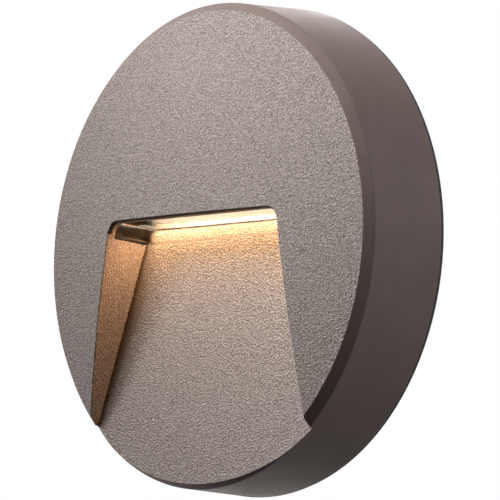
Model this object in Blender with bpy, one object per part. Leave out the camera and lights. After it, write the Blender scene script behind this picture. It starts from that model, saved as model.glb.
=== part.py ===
"""Wall mounted pathway light: a round cast housing with a recessed downward beam.

The wall is the plane y = 0 and the light stands out from it along -Y, with +Z up.
Depths are counted from the wall towards the viewer, and heights from the disc's centre.
The light unit, which is the housing and all that it holds, sits over a steel bracket on
the wall, and two set screws through its rim hold it there.
"""
import math

import bmesh
import bpy
from mathutils import Matrix, Vector

MM = 0.001

# Clearances
FIT = 0.3 * MM
OVERRUN = 4.0 * MM

# Housing, from the wall outwards
REAR_RADIUS = 75.0 * MM
SIDE_DRAFT = 2.1 * MM
BEVEL_WIDTH = 2.5 * MM
FACE_DEPTH = 28.3 * MM
BEVEL_DEPTH = 2.3 * MM
CROWN = 5.0 * MM
SHELL_WALL = 2.6 * MM
SKIRT_WALL = 3.4 * MM
LEDGE_WIDTH = 2.4 * MM
INNER_FILLET = 3.0 * MM
HOUSING_STEPS = 96
DOME_RINGS = 5

# Recess that the light falls through
RECESS_TOP = 8.4 * MM
RECESS_TOP_LAND = 35.05 * MM
RECESS_END_LAND = 20.9 * MM
RECESS_CORNER = 4.2 * MM
FLOOR_ROOM = 2.95 * MM
RECESS_END_DEPTH = 0.55 * MM
POCKET_WALL = 2.8 * MM
CEILING_DROP = 0.95 * MM
CORNER_STEPS = 6

# Lens and what holds it
LENS_LEG = 3.55 * MM
LENS_FLANGE = 2.6 * MM
LENS_THICKNESS = 4.1 * MM
LENS_GASKET = 0.6 * MM
LENS_SEAT_RISE = 0.6 * MM
FRAME_THICKNESS = 2.2 * MM

# Light engine above the lens
LED_COUNT = 6
LED_SIZE = 3.0 * MM
LED_HEIGHT = 0.7 * MM
LED_SPAN_SHARE = 0.78
WINDOW_WIDTH = 5.6 * MM
WINDOW_DEPTH = 7.0 * MM
BOARD_THICKNESS = 1.0 * MM
BOARD_INSET = 1.075 * MM
PAD_THICKNESS = 0.5 * MM
PLATE = 2.0 * MM
UPSTAND = 4.6 * MM
EAR_WIDTH = 9.5 * MM
EAR_RISE = 9.6 * MM
LEAD_NOTCH_WIDTH = 8.0 * MM
LEAD_NOTCH_DEPTH = 4.6 * MM
LEAD_NOTCH_SHARE = 0.74

# Bosses and screws
BOSS_RADIUS = 3.6 * MM
SHAFT_RADIUS = 1.35 * MM
SCREW_HEAD_RADIUS = 2.7 * MM
SCREW_HEAD_HEIGHT = 1.5 * MM
SCREW_REACH = 6.0 * MM
DRIVE_WIDTH = 0.6 * MM
DRIVE_SPAN = 2.8 * MM
DRIVE_DEPTH = 0.8 * MM
SCREW_STEPS = 12
BOSS_STEPS = 20
HEAD_FLAT_SHARE = 0.72
SMALL_HEAD_RADIUS = 1.9 * MM
SMALL_HEAD_HEIGHT = 0.9 * MM
SMALL_SHAFT_RADIUS = 0.9 * MM

# Rear cover and its seal
COVER_THICKNESS = 2.0 * MM
COVER_GASKET = 0.8 * MM
COVER_SCREWS = 6
RING_STEPS = 72

# Cable grommet in the rear cover
GROMMET_OFFSET = 24.0 * MM
GROMMET_BORE = 3.6 * MM
GROMMET_NECK = 6.0 * MM
GROMMET_FLANGE = 8.2 * MM
GROMMET_LIP = 1.3 * MM
GROMMET_STEPS = 32

# Wall bracket and the two set screws
BRACKET_RADIUS = 52.0 * MM
ARM_HALF = 14.0 * MM
LUG_HALF = 9.0 * MM
LUG_HEIGHT = 7.3 * MM
LUG_GAP = 3.6 * MM
CABLE_HOLE = 8.0 * MM
SLOT_WIDTH = 5.0 * MM
SLOT_LENGTH = 16.0 * MM
SLOT_STEPS = 8
SLOT_HALF_SHARE = 0.5
SLOT_RING = 37.0 * MM
SET_SCREW_RADIUS = 2.0 * MM
SET_SCREW_SINK = 0.6 * MM
SOCKET_RADIUS = 1.15 * MM
SOCKET_SIDES = 6
SOCKET_DEPTH = 2.0 * MM
WALL_GASKET = 1.0 * MM
WALL_GASKET_INSET = 0.6 * MM

# Driver in the upper part of the housing
CASE_SIDE_ROOM = 13.88 * MM
CASE_WALL = 1.6 * MM
CASE_TOP_SHARE = 0.722
CASE_GAP = 2.4 * MM
CASE_LID = 1.6 * MM
CASE_LIP = 1.4 * MM
CASE_EAR = 10.0 * MM
CASE_EAR_HEIGHT = 8.0 * MM
PILLAR = 3.0 * MM
PILLAR_HEIGHT = 0.9 * MM
DRIVER_BOARD = 1.6 * MM
SOLDER_GAP = 0.6 * MM
TRANSFORMER_SHARES = (0.14, 0.58, 0.22, 0.32, 0.92)
WINDING_SHARE = 0.2
WINDOW_SHARE = 0.6
WINDING_GAP_SHARE = 0.03
LOW_RISE_SHARE = 0.4
LOW_COMPONENT_SHARES = (
    (-0.09, 0.12, 0.07, 0.08, 0.3),
    (0.16, 0.1, 0.1, 0.07, 0.2),
    (0.42, 0.1, 0.08, 0.07, 0.25),
)
BOX_COMPONENT_SHARES = (
    ("fuse", -0.62, 0.26, 0.08, 0.12, 0.5),
    ("filter_capacitor", -0.36, 0.2, 0.13, 0.11, 0.62),
)
CAN_COMPONENT_SHARES = (
    ("input_capacitor", -0.4, 0.66, 0.24, 0.95),
    ("output_capacitor", 0.66, 0.68, 0.2, 0.85),
)

# Terminal block behind the lower part of the recess
BLOCK_HALF = 15.0 * MM
BLOCK_HEIGHT = 14.0 * MM
BLOCK_TOP_SHARE = 0.628
POST_RADIUS = 2.4 * MM
POST_REACH = 1.6 * MM
POLES = ("line", "neutral", "earth")
POLE_PITCH = 10.0 * MM
CAGE = 4.4 * MM
CAGE_BORE = 3.0 * MM
CAGE_INSET = 1.0 * MM
BLOCK_BACK_WALL = 1.6 * MM
BLOCK_FLOOR_GAP = 0.7 * MM
CLAMP_RADIUS = 1.2 * MM

# Protective earth
EARTH_SIDE_SHARE = 0.81
EARTH_DROP_SHARE = 0.26
EARTH_BOSS_DROP = 5.6 * MM
TAG_RADIUS = 3.5 * MM
TAG_THICKNESS = 0.8 * MM
WASHER_THICKNESS = 0.6 * MM
WASHER_TEETH = 10
BARREL_RADIUS = 1.9 * MM
BARREL_LENGTH = 5.0 * MM
BARREL_STEPS = 12

# Internal leads
LEAD_RADIUS = 1.0 * MM
LEAD_GAP = 0.5 * MM
LEAD_STEP = 4.0 * MM
LEAD_HOLE = 1.9 * MM
MAINS_ROUTE_SHARES = (
    ((-0.246, -0.39), (-0.477, -0.202), (-0.68, -0.015)),
    ((-0.285, -0.46), (-0.525, -0.275), (-0.73, -0.07)),
)

# Places worked out from the sizes above
FRONT_RADIUS = REAR_RADIUS - SIDE_DRAFT
FACE_RADIUS = FRONT_RADIUS - BEVEL_WIDTH
DOWN = -FRONT_RADIUS
RECESS_TOP_HALF = FRONT_RADIUS - RECESS_TOP_LAND
RECESS_END_HALF = FRONT_RADIUS - RECESS_END_LAND
RECESS_HEIGHT = RECESS_TOP - DOWN
SPLAY = (RECESS_END_HALF - RECESS_TOP_HALF) / RECESS_HEIGHT
COVER_REAR = LUG_HEIGHT + FIT
COVER_FRONT = COVER_REAR + COVER_THICKNESS
FLOOR_TOP = COVER_FRONT + FLOOR_ROOM + SHELL_WALL
RECESS_TOP_DEPTH = FACE_DEPTH - FLOOR_TOP
FLOOR_SLOPE = (RECESS_TOP_DEPTH - RECESS_END_DEPTH) / RECESS_HEIGHT
RIM_START = WALL_GASKET + FIT
SKIRT_RADIUS = REAR_RADIUS - SKIRT_WALL
CAVITY_RADIUS = SKIRT_RADIUS - LEDGE_WIDTH
BOSS_TOP = COVER_FRONT + FIT
LEDGE_DEPTH = BOSS_TOP + COVER_GASKET + FIT
BOSS_RING = CAVITY_RADIUS - BOSS_RADIUS - 2 * LEDGE_WIDTH / 3
LENS_SEAT = FACE_DEPTH + LENS_SEAT_RISE
LENS_FRONT = LENS_SEAT - FIT
LENS_BACK = FLOOR_TOP + FIT
LENS_TOP = RECESS_TOP + LENS_THICKNESS
LENS_FOOT = RECESS_TOP - LENS_LEG
POCKET_TOP = LENS_FOOT - FIT - LENS_GASKET - FIT
LENS_HALF = RECESS_TOP_HALF + SPLAY * LENS_LEG + LENS_FLANGE
FRAME_BOTTOM = LENS_TOP + FIT
FRAME_TOP = FRAME_BOTTOM + FRAME_THICKNESS
BOARD_BOTTOM = FRAME_TOP + FIT
BOARD_TOP = BOARD_BOTTOM + BOARD_THICKNESS
PAD_BOTTOM = BOARD_TOP + FIT
SPREADER_BOTTOM = PAD_BOTTOM + PAD_THICKNESS + FIT
SPREADER_TOP = SPREADER_BOTTOM + PLATE
UPSTAND_TOP = SPREADER_BOTTOM + UPSTAND
SPREADER_HALF = LENS_HALF - FIT
LED_ROW = (LENS_BACK + LENS_FRONT) / 2
BOARD_BACK = LENS_BACK + BOARD_INSET
BOARD_FRONT = LENS_FRONT - BOARD_INSET
EAR_HALF = SPREADER_HALF + EAR_WIDTH
EAR_SCREW_SIDE = SPREADER_HALF + EAR_WIDTH / 2
EAR_SCREW_HEIGHT = SPREADER_BOTTOM + EAR_RISE / 2
CASE_BOTTOM = UPSTAND_TOP + CASE_GAP
CASE_TOP = CASE_TOP_SHARE * CAVITY_RADIUS
CASE_HALF = math.sqrt(CAVITY_RADIUS ** 2 - CASE_TOP ** 2) - CASE_SIDE_ROOM
CASE_REAR = COVER_FRONT + 2 * FIT
CASE_RIM = CASE_REAR + CASE_LID + FIT
BLOCK_TOP = -BLOCK_TOP_SHARE * CAVITY_RADIUS
BLOCK_BOTTOM = BLOCK_TOP - BLOCK_HEIGHT
BLOCK_REAR = COVER_FRONT + FIT + SMALL_HEAD_HEIGHT + FIT
EARTH_SIDE = EARTH_SIDE_SHARE * CAVITY_RADIUS
EARTH_HEIGHT = -EARTH_DROP_SHARE * CAVITY_RADIUS
EARTH_SEAT = BOSS_TOP + EARTH_BOSS_DROP
ARM_REACH = SKIRT_RADIUS - LUG_GAP
SET_SCREW_DEPTH = LUG_HEIGHT - SET_SCREW_RADIUS - FIT


def place(side, depth, height):
    """A point given by its side, its distance from the wall and its height."""
    return Vector((side, -depth, height))


def recess_half(height):
    """Half the recess's width at a height."""
    return RECESS_TOP_HALF + SPLAY * (RECESS_TOP - height)


def floor_depth(height):
    """Distance of the sloping recess floor from the wall."""
    return FLOOR_TOP + FLOOR_SLOPE * (RECESS_TOP - height)


def floor_back(height):
    """Distance of the rear side of the recess floor from the wall."""
    return floor_depth(height) - SHELL_WALL


def dome_depth(radius):
    """Distance of the crowned front face from the wall."""
    return FACE_DEPTH + CROWN * (1 - (radius / FACE_RADIUS) ** 2)


def dome_inside(side, height):
    """Distance of the front wall's inner side from the wall."""
    return dome_depth(math.hypot(side, height)) - SHELL_WALL


def side_radius(depth):
    """Outer radius of the drafted side at a depth."""
    base = FACE_DEPTH - BEVEL_DEPTH
    return REAR_RADIUS - (REAR_RADIUS - FRONT_RADIUS) * depth / base


def finish(name, colour, roughness, metallic=0.0, glow=0.0):
    """A Principled material in the part's colour."""
    material = bpy.data.materials.new(name)
    material.use_nodes = True
    shader = material.node_tree.nodes["Principled BSDF"]
    shader.inputs["Base Color"].default_value = (*colour, 1.0)
    shader.inputs["Roughness"].default_value = roughness
    shader.inputs["Metallic"].default_value = metallic
    if glow:
        shader.inputs["Emission Color"].default_value = (*colour, 1.0)
        shader.inputs["Emission Strength"].default_value = glow
    material.diffuse_color = (*colour, 1.0)
    return material


def new_object(name, mesh_builder):
    """An object from a bmesh, with its faces turned outwards."""
    bmesh.ops.recalc_face_normals(mesh_builder, faces=mesh_builder.faces)
    mesh = bpy.data.meshes.new(name)
    mesh_builder.to_mesh(mesh)
    mesh_builder.free()
    body = bpy.data.objects.new(name, mesh)
    bpy.context.scene.collection.objects.link(body)
    return body


def prism(name, outline, back, front):
    """An outline of (side, height) points drawn out between two depths, which may slope."""
    shape = bmesh.new()
    rear = [shape.verts.new(place(x, back(z) if callable(back) else back, z)) for x, z in outline]
    fore = [shape.verts.new(place(x, front(z) if callable(front) else front, z)) for x, z in outline]
    join_outlines(shape, rear, fore)
    return new_object(name, shape)


def join_outlines(shape, first, second):
    """Two rings of points closed into a solid."""
    shape.faces.new(first)
    shape.faces.new(list(reversed(second)))
    for index in range(len(first)):
        after = (index + 1) % len(first)
        shape.faces.new((first[index], first[after], second[after], second[index]))


def block(name, sides, depths, heights):
    """A box between two sides, two depths and two heights."""
    outline = [(sides[0], heights[0]), (sides[1], heights[0]), (sides[1], heights[1]), (sides[0], heights[1])]
    return prism(name, outline, depths[0], depths[1])


def turned(name, profile, steps, spot=Vector(), axis="Y"):
    """A (radius, distance) profile turned about an axis through a spot.

    The distance runs along -Y for the axis Y, up for Z and to the right for X. A profile
    that starts on the axis is a solid, closed by flat caps or a crown; any other is a ring.
    """
    shape = bmesh.new()
    solid = profile[0][0] == 0
    points = [point for point, near in zip(profile, profile[1:] + profile[-2:-1]) if not flat_cap(point, near)]
    rings = []
    for radius, distance in points:
        angles = [2 * math.pi * step / steps for step in range(steps if radius else 1)]
        rings.append([shape.verts.new((radius * math.cos(a), radius * math.sin(a), distance)) for a in angles])
    pairs = list(zip(rings, rings[1:]))
    if not solid:
        pairs.append((rings[-1], rings[0]))
    for lower, upper in pairs:
        bridge(shape, lower, upper, steps)
    for ring in (rings[0], rings[-1]):
        if solid and len(ring) > 1:
            shape.faces.new(ring)
    turn = {"Y": Matrix.Rotation(math.pi / 2, 4, "X"), "X": Matrix.Rotation(math.pi / 2, 4, "Y"), "Z": Matrix()}
    bmesh.ops.transform(shape, matrix=Matrix.Translation(spot) @ turn[axis], verts=shape.verts)
    return new_object(name, shape)


def flat_cap(point, near):
    """Whether a profile point is just the middle of a flat end."""
    return point[0] == 0 and point[1] == near[1]


def bridge(shape, lower, upper, steps):
    """Faces between two neighbouring rings, either of which may be a pole."""
    for step in range(steps):
        after = (step + 1) % steps
        corners = [lower[step % len(lower)], lower[after % len(lower)]]
        corners += [upper[after % len(upper)], upper[step % len(upper)]]
        shape.faces.new(list(dict.fromkeys(corners)))


def rod(name, side, height, depths, radius, steps=BOSS_STEPS):
    """A round bar across the wall's plane, between two depths."""
    profile = [(0, depths[0]), (radius, depths[0]), (radius, depths[1]), (0, depths[1])]
    return turned(name, profile, steps, place(side, 0, height))


def shape_by(body, tool, operation="DIFFERENCE"):
    """Cut one body with another, or join them, and use the tool up."""
    step = body.modifiers.new(operation.title(), "BOOLEAN")
    step.operation = operation
    step.object = tool
    graph = bpy.context.evaluated_depsgraph_get()
    mesh = bpy.data.meshes.new_from_object(body.evaluated_get(graph))
    body.modifiers.clear()
    body.data = mesh
    bpy.data.objects.remove(tool)
    return body


def paint(body, material, smooth=True):
    """The body's material and shading."""
    body.data.materials.clear()
    body.data.materials.append(material)
    if smooth:
        body.data.shade_smooth()
        body.data.set_sharp_from_angle(angle=math.radians(30))
    return body


def arch(top, foot, grow=0.0):
    """The recess's rounded top, from its left foot over to its right foot."""
    lean = math.atan(SPLAY)
    radius = RECESS_CORNER - grow
    corner = recess_half(top) + SPLAY * RECESS_CORNER - RECESS_CORNER / math.cos(lean)
    centre = top - RECESS_CORNER
    right = [(recess_half(foot) - grow, foot)]
    for step in range(CORNER_STEPS + 1):
        angle = lean + (math.pi / 2 - lean) * step / CORNER_STEPS
        right.append((corner + radius * math.cos(angle), centre + radius * math.sin(angle)))
    return [(-x, z) for x, z in right] + list(reversed(right))


def screw(name, side, height, seat, reach, head, shaft):
    """A pan head screw driven towards the viewer, with its head seated at a depth."""
    radius, thick = head
    profile = [(0, seat - thick), (radius * HEAD_FLAT_SHARE, seat - thick), (radius, seat - thick / 2)]
    profile += [(radius, seat), (shaft, seat), (shaft, seat + reach), (0, seat + reach)]
    body = turned(name, profile, SCREW_STEPS, place(side, 0, height))
    depths = (seat - thick - OVERRUN, seat - thick + min(DRIVE_DEPTH, thick / 2))
    half = min(DRIVE_SPAN, radius) / 2
    width = DRIVE_WIDTH / 2
    for across, tall in ((half, width), (width, half)):
        cut = block("drive", (side - across, side + across), depths, (height - tall, height + tall))
        shape_by(body, cut)
    return body


def cover_spots():
    """Where the rear cover's screws stand, clear of the set screws."""
    angles = [2 * math.pi * number / COVER_SCREWS for number in range(COVER_SCREWS)]
    return [(BOSS_RING * math.cos(angle), BOSS_RING * math.sin(angle)) for angle in angles]


def spreader_spots():
    """Where the heat spreader is screwed to the housing."""
    return [(-EAR_SCREW_SIDE, EAR_SCREW_HEIGHT), (EAR_SCREW_SIDE, EAR_SCREW_HEIGHT)]


def case_ear_height():
    """Height of the driver case's two fixing ears."""
    return CASE_TOP - CASE_EAR_HEIGHT / 2


def case_spots():
    """Where the driver case is screwed to the housing."""
    side = CASE_HALF + CASE_EAR / 2
    return [(-side, case_ear_height()), (side, case_ear_height())]


def case_front():
    """Depth of the driver case's front wall, just behind the housing's."""
    return dome_inside(CASE_HALF, CASE_TOP) - 2 * FIT


def case_ear_depths():
    """Depths between which the driver case's ears lie."""
    middle = (CASE_RIM + case_front()) / 2
    return (middle - CASE_WALL / 2, middle + CASE_WALL / 2)


def block_front():
    """Depth of the terminal block's front face, just behind the recess floor."""
    return floor_back(BLOCK_TOP) - BLOCK_FLOOR_GAP


def block_spots():
    """Where the terminal block is screwed down, between its poles."""
    height = (BLOCK_TOP + BLOCK_BOTTOM) / 2
    return [(-POLE_PITCH / 2, height), (POLE_PITCH / 2, height)]


def pole_sides():
    """Sides of the three poles: line, neutral and earth."""
    return [-POLE_PITCH, 0, POLE_PITCH]


def cage_depth():
    """Depth of the terminal cages' middle."""
    return BLOCK_REAR + BLOCK_BACK_WALL + CAGE / 2 + FIT


def lead_hole_heights():
    """Heights of the two lead holes in each side of the driver case."""
    first = CASE_BOTTOM + CASE_WALL + LEAD_HOLE + FIT
    return (first, first + 2 * LEAD_HOLE + FIT)


def lead_hole_depth():
    """Depth of the lead holes in the driver case."""
    return CASE_RIM + CASE_LIP + LEAD_HOLE + FIT


def housing_blank():
    """The housing's outer form, solid: crowned face, narrow bevel and drafted side."""
    base = FACE_DEPTH - BEVEL_DEPTH
    profile = [(0, RIM_START), (side_radius(RIM_START), RIM_START), (FRONT_RADIUS, base)]
    for ring in range(DOME_RINGS):
        radius = FACE_RADIUS * (1 - ring / DOME_RINGS)
        profile.append((radius, dome_depth(radius)))
    profile.append((0, dome_depth(0)))
    return turned("front_housing", profile, HOUSING_STEPS)


def cavity_blank():
    """The hollow behind the front wall, with the ledge for the rear cover's seal."""
    profile = [(0, RIM_START - OVERRUN), (SKIRT_RADIUS, RIM_START - OVERRUN), (SKIRT_RADIUS, LEDGE_DEPTH)]
    profile.append((CAVITY_RADIUS, LEDGE_DEPTH))
    roof = dome_depth(CAVITY_RADIUS - INNER_FILLET) - SHELL_WALL
    profile.append((CAVITY_RADIUS, roof - INNER_FILLET))
    for ring in range(DOME_RINGS):
        radius = (CAVITY_RADIUS - INNER_FILLET) * (1 - ring / DOME_RINGS)
        profile.append((radius, dome_depth(radius) - SHELL_WALL))
    profile.append((0, dome_depth(0) - SHELL_WALL))
    return turned("cavity", profile, HOUSING_STEPS)


def pocket_solid():
    """The material round the recess: its floor and its two side walls."""
    foot = DOWN - OVERRUN
    half_top = recess_half(POCKET_TOP) + POCKET_WALL
    half_foot = recess_half(foot) + POCKET_WALL
    outline = [(-half_foot, foot), (half_foot, foot), (half_top, POCKET_TOP), (-half_top, POCKET_TOP)]
    return prism("pocket", outline, floor_back, dome_depth(0))


def upstand_solid():
    """The wall that rises behind the lens, above the recess floor."""
    half = LENS_HALF + POCKET_WALL
    depths = (FLOOR_TOP - SHELL_WALL, FLOOR_TOP)
    return block("upstand", (-half, half), depths, (POCKET_TOP - OVERRUN, LENS_TOP))


def seat_solid():
    """The flat pad inside the front wall that the lens stands against."""
    half = LENS_HALF + POCKET_WALL
    return block("seat", (-half, half), (LENS_SEAT, dome_depth(0)), (POCKET_TOP - OVERRUN, FRAME_TOP))


def housing_bosses():
    """Every screw boss inside the housing, as (side, height, rear, front, radius)."""
    tall = dome_depth(0)
    bosses = [(x, z, BOSS_TOP, tall, BOSS_RADIUS) for x, z in cover_spots()]
    ear = LENS_BACK + FIT
    bosses += [(x, z, ear, tall, BOSS_RADIUS) for x, z in spreader_spots()]
    bosses += [(x, z, case_ear_depths()[1] + FIT, tall, BOSS_RADIUS) for x, z in case_spots()]
    post = block_front() + FIT
    bosses += [(x, z, post, floor_depth(z), POST_RADIUS) for x, z in block_spots()]
    bosses.append((EARTH_SIDE, EARTH_HEIGHT, EARTH_SEAT, tall, BOSS_RADIUS))
    return bosses


def recess_cut():
    """The recess itself: arched at the top, splayed, and running out through the rim."""
    foot = DOWN - OVERRUN
    outline = arch(RECESS_TOP, foot)
    return prism("recess", outline, floor_depth, dome_depth(0) + OVERRUN)


def lens_slot():
    """The room for the lens and its seal behind the front wall."""
    half = LENS_HALF + FIT
    slope = CEILING_DROP / (LENS_SEAT - FLOOR_TOP)
    shape = bmesh.new()
    rings = []
    for depth in (FLOOR_TOP, LENS_SEAT):
        low = POCKET_TOP - slope * (LENS_SEAT - depth)
        corners = [(-half, low), (half, low), (half, FRAME_TOP + FIT), (-half, FRAME_TOP + FIT)]
        rings.append([shape.verts.new(place(x, depth, z)) for x, z in corners])
    join_outlines(shape, *rings)
    return new_object("lens_slot", shape)


def front_housing(material):
    """The cast housing: shell, recess, lens seat, bosses and screw holes."""
    cavity = cavity_blank()
    for solid in (pocket_solid(), upstand_solid(), seat_solid()):
        shape_by(cavity, solid)
    for side, height, rear, front, radius in housing_bosses():
        shape_by(cavity, rod("boss", side, height, (rear, front), radius))
    body = shape_by(housing_blank(), cavity)
    shape_by(body, lens_slot())
    shape_by(body, recess_cut())
    for side, height, rear, _, radius in housing_bosses():
        hole = SHAFT_RADIUS if radius > POST_RADIUS else SMALL_SHAFT_RADIUS
        reach = SCREW_REACH if radius > POST_RADIUS else POST_REACH
        depths = (rear - OVERRUN, rear + reach + FIT)
        shape_by(body, rod("hole", side, height, depths, hole + FIT, SCREW_STEPS))
    for sign in (-1, 1):
        profile = [(0, ARM_REACH), (SET_SCREW_RADIUS + FIT, ARM_REACH)]
        profile += [(SET_SCREW_RADIUS + FIT, REAR_RADIUS + OVERRUN), (0, REAR_RADIUS + OVERRUN)]
        profile = [(radius, sign * distance) for radius, distance in profile]
        shape_by(body, turned("rim_hole", profile, BOSS_STEPS, place(0, SET_SCREW_DEPTH, 0), "Z"))
    return paint(body, material)


def lens(material):
    """The clear ceiling of the recess: flat above, arched below, leaning back by its drop."""
    shape = bmesh.new()
    rings = []
    slope = CEILING_DROP / (LENS_SEAT - FLOOR_TOP)
    for depth in (LENS_BACK, LENS_FRONT):
        drop = slope * (LENS_SEAT - depth)
        inner = arch(RECESS_TOP - drop, LENS_FOOT - drop)
        outer = [(LENS_HALF, LENS_FOOT - drop), (LENS_HALF, LENS_TOP), (-LENS_HALF, LENS_TOP)]
        outer.append((-LENS_HALF, LENS_FOOT - drop))
        rings.append([shape.verts.new(place(x, depth, z)) for x, z in inner + outer])
    join_outlines(shape, *rings)
    return paint(new_object("lens", shape), material)


def lens_gaskets(material):
    """The silicone strips under the lens's two legs, on the recess's side walls."""
    slope = CEILING_DROP / (LENS_SEAT - FLOOR_TOP)
    strips = []
    for name, sign in (("lens_gasket_left", -1), ("lens_gasket_right", 1)):
        shape = bmesh.new()
        rings = []
        for depth in (LENS_BACK, LENS_FRONT):
            top = LENS_FOOT - FIT - slope * (LENS_SEAT - depth)
            low = top - LENS_GASKET
            corners = [(recess_half(low), low), (LENS_HALF, low), (LENS_HALF, top), (recess_half(top), top)]
            rings.append([shape.verts.new(place(sign * x, depth, z)) for x, z in corners])
        join_outlines(shape, *rings)
        strips.append(paint(new_object(name, shape), material, smooth=False))
    return strips


def led_sides():
    """Sides of the LEDs along the board, evenly spaced about the middle."""
    span = LED_SPAN_SHARE * SPREADER_HALF
    return [span * (2 * number / (LED_COUNT - 1) - 1) for number in range(LED_COUNT)]


def board_screw_sides():
    """Sides of the two screws that hold the LED board."""
    side = (led_sides()[-1] + WINDOW_WIDTH / 2 + SPREADER_HALF) / 2
    return [-side, side]


def reflector_frame(material):
    """The white frame between lens and LED board, with a window for each LED."""
    half = SPREADER_HALF
    body = block("reflector_frame", (-half, half), (LENS_BACK, LENS_FRONT), (FRAME_BOTTOM, FRAME_TOP))
    heights = (FRAME_BOTTOM - OVERRUN, FRAME_TOP + OVERRUN)
    depths = (LED_ROW - WINDOW_DEPTH / 2, LED_ROW + WINDOW_DEPTH / 2)
    for side in led_sides():
        shape_by(body, block("window", (side - WINDOW_WIDTH / 2, side + WINDOW_WIDTH / 2), depths, heights))
    for side in board_screw_sides():
        profile = [(0, heights[0]), (SMALL_HEAD_RADIUS + FIT, heights[0])]
        profile += [(SMALL_HEAD_RADIUS + FIT, heights[1]), (0, heights[1])]
        shape_by(body, turned("screw_window", profile, SCREW_STEPS, place(side, LED_ROW, 0), "Z"))
    return paint(body, material, smooth=False)


def upright_hole(body, side, depth, heights, radius):
    """A round hole straight up through a body."""
    profile = [(0, heights[0]), (radius, heights[0]), (radius, heights[1]), (0, heights[1])]
    return shape_by(body, turned("hole", profile, SCREW_STEPS, place(side, depth, 0), "Z"))


def led_board(material):
    """The metal-core board, with its two screw holes."""
    half = SPREADER_HALF
    body = block("led_board", (-half, half), (BOARD_BACK, BOARD_FRONT), (BOARD_BOTTOM, BOARD_TOP))
    for side in board_screw_sides():
        upright_hole(body, side, LED_ROW, (FRAME_BOTTOM, SPREADER_TOP), SMALL_SHAFT_RADIUS + FIT)
    return paint(body, material, smooth=False)


def leds(material):
    """The LED packages under the board."""
    top = BOARD_BOTTOM - FIT
    depths = (LED_ROW - LED_SIZE / 2, LED_ROW + LED_SIZE / 2)
    chips = []
    for number, side in enumerate(led_sides(), 1):
        sides = (side - LED_SIZE / 2, side + LED_SIZE / 2)
        chips.append(paint(block(f"led_{number}", sides, depths, (top - LED_HEIGHT, top)), material, smooth=False))
    return chips


def lead_notch():
    """Sides and depths of the notch that lets the leads down to the LED board."""
    middle = LEAD_NOTCH_SHARE * SPREADER_HALF
    sides = (middle - LEAD_NOTCH_WIDTH / 2, middle + LEAD_NOTCH_WIDTH / 2)
    return sides, (BOARD_FRONT - LEAD_NOTCH_DEPTH, BOARD_FRONT + OVERRUN)


def thermal_pad(material):
    """The thin pad between the LED board and the heat spreader."""
    half = SPREADER_HALF
    heights = (PAD_BOTTOM, PAD_BOTTOM + PAD_THICKNESS)
    body = block("thermal_pad", (-half, half), (BOARD_BACK, BOARD_FRONT), heights)
    for side in board_screw_sides():
        upright_hole(body, side, LED_ROW, (FRAME_BOTTOM, SPREADER_TOP), SMALL_SHAFT_RADIUS + FIT)
    sides, depths = lead_notch()
    shape_by(body, block("notch", sides, depths, (BOARD_TOP, SPREADER_TOP)))
    return paint(body, material, smooth=False)


def heat_spreader(material):
    """The bent aluminium plate over the LED board, screwed to the housing by two ears."""
    half = SPREADER_HALF
    rear = LENS_BACK - PLATE
    front = BOARD_FRONT + FIT
    body = block("heat_spreader", (-half, half), (rear, front), (SPREADER_BOTTOM, SPREADER_TOP))
    wall = block("upstand", (-EAR_HALF, EAR_HALF), (rear, LENS_BACK), (SPREADER_BOTTOM, UPSTAND_TOP))
    shape_by(body, wall, "UNION")
    top = SPREADER_BOTTOM + EAR_RISE
    for sign in (-1, 1):
        sides = sorted((sign * (EAR_HALF - EAR_WIDTH + FIT), sign * EAR_HALF))
        shape_by(body, block("ear", sides, (rear, LENS_BACK), (SPREADER_BOTTOM, top)), "UNION")
    for side, height in spreader_spots():
        depths = (rear - OVERRUN, LENS_BACK + OVERRUN)
        shape_by(body, rod("hole", side, height, depths, SHAFT_RADIUS + FIT, SCREW_STEPS))
    for side in board_screw_sides():
        upright_hole(body, side, LED_ROW, (FRAME_BOTTOM, UPSTAND_TOP), SMALL_SHAFT_RADIUS + FIT)
    sides, depths = lead_notch()
    shape_by(body, block("notch", sides, depths, (BOARD_TOP, UPSTAND_TOP)))
    return paint(body, material, smooth=False)


def led_board_screws(material):
    """Two small screws from below, through the board into the spreader."""
    seat = BOARD_BOTTOM - FIT
    profile = [(0, seat - SMALL_HEAD_HEIGHT), (SMALL_HEAD_RADIUS, seat - SMALL_HEAD_HEIGHT)]
    profile += [(SMALL_HEAD_RADIUS, seat), (SMALL_SHAFT_RADIUS, seat)]
    profile += [(SMALL_SHAFT_RADIUS, SPREADER_TOP), (0, SPREADER_TOP)]
    screws = []
    for number, side in enumerate(board_screw_sides(), 1):
        body = turned(f"led_board_screw_{number}", profile, SCREW_STEPS, place(side, LED_ROW, 0), "Z")
        screws.append(paint(body, material))
    return screws


def screw_set(name, spots, seat, material):
    """Equal screws, numbered, with their heads seated at one depth."""
    head = (SCREW_HEAD_RADIUS, SCREW_HEAD_HEIGHT)
    screws = []
    for number, (side, height) in enumerate(spots, 1):
        body = screw(f"{name}_{number}", side, height, seat - FIT, SCREW_REACH, head, SHAFT_RADIUS)
        screws.append(paint(body, material))
    return screws


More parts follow.
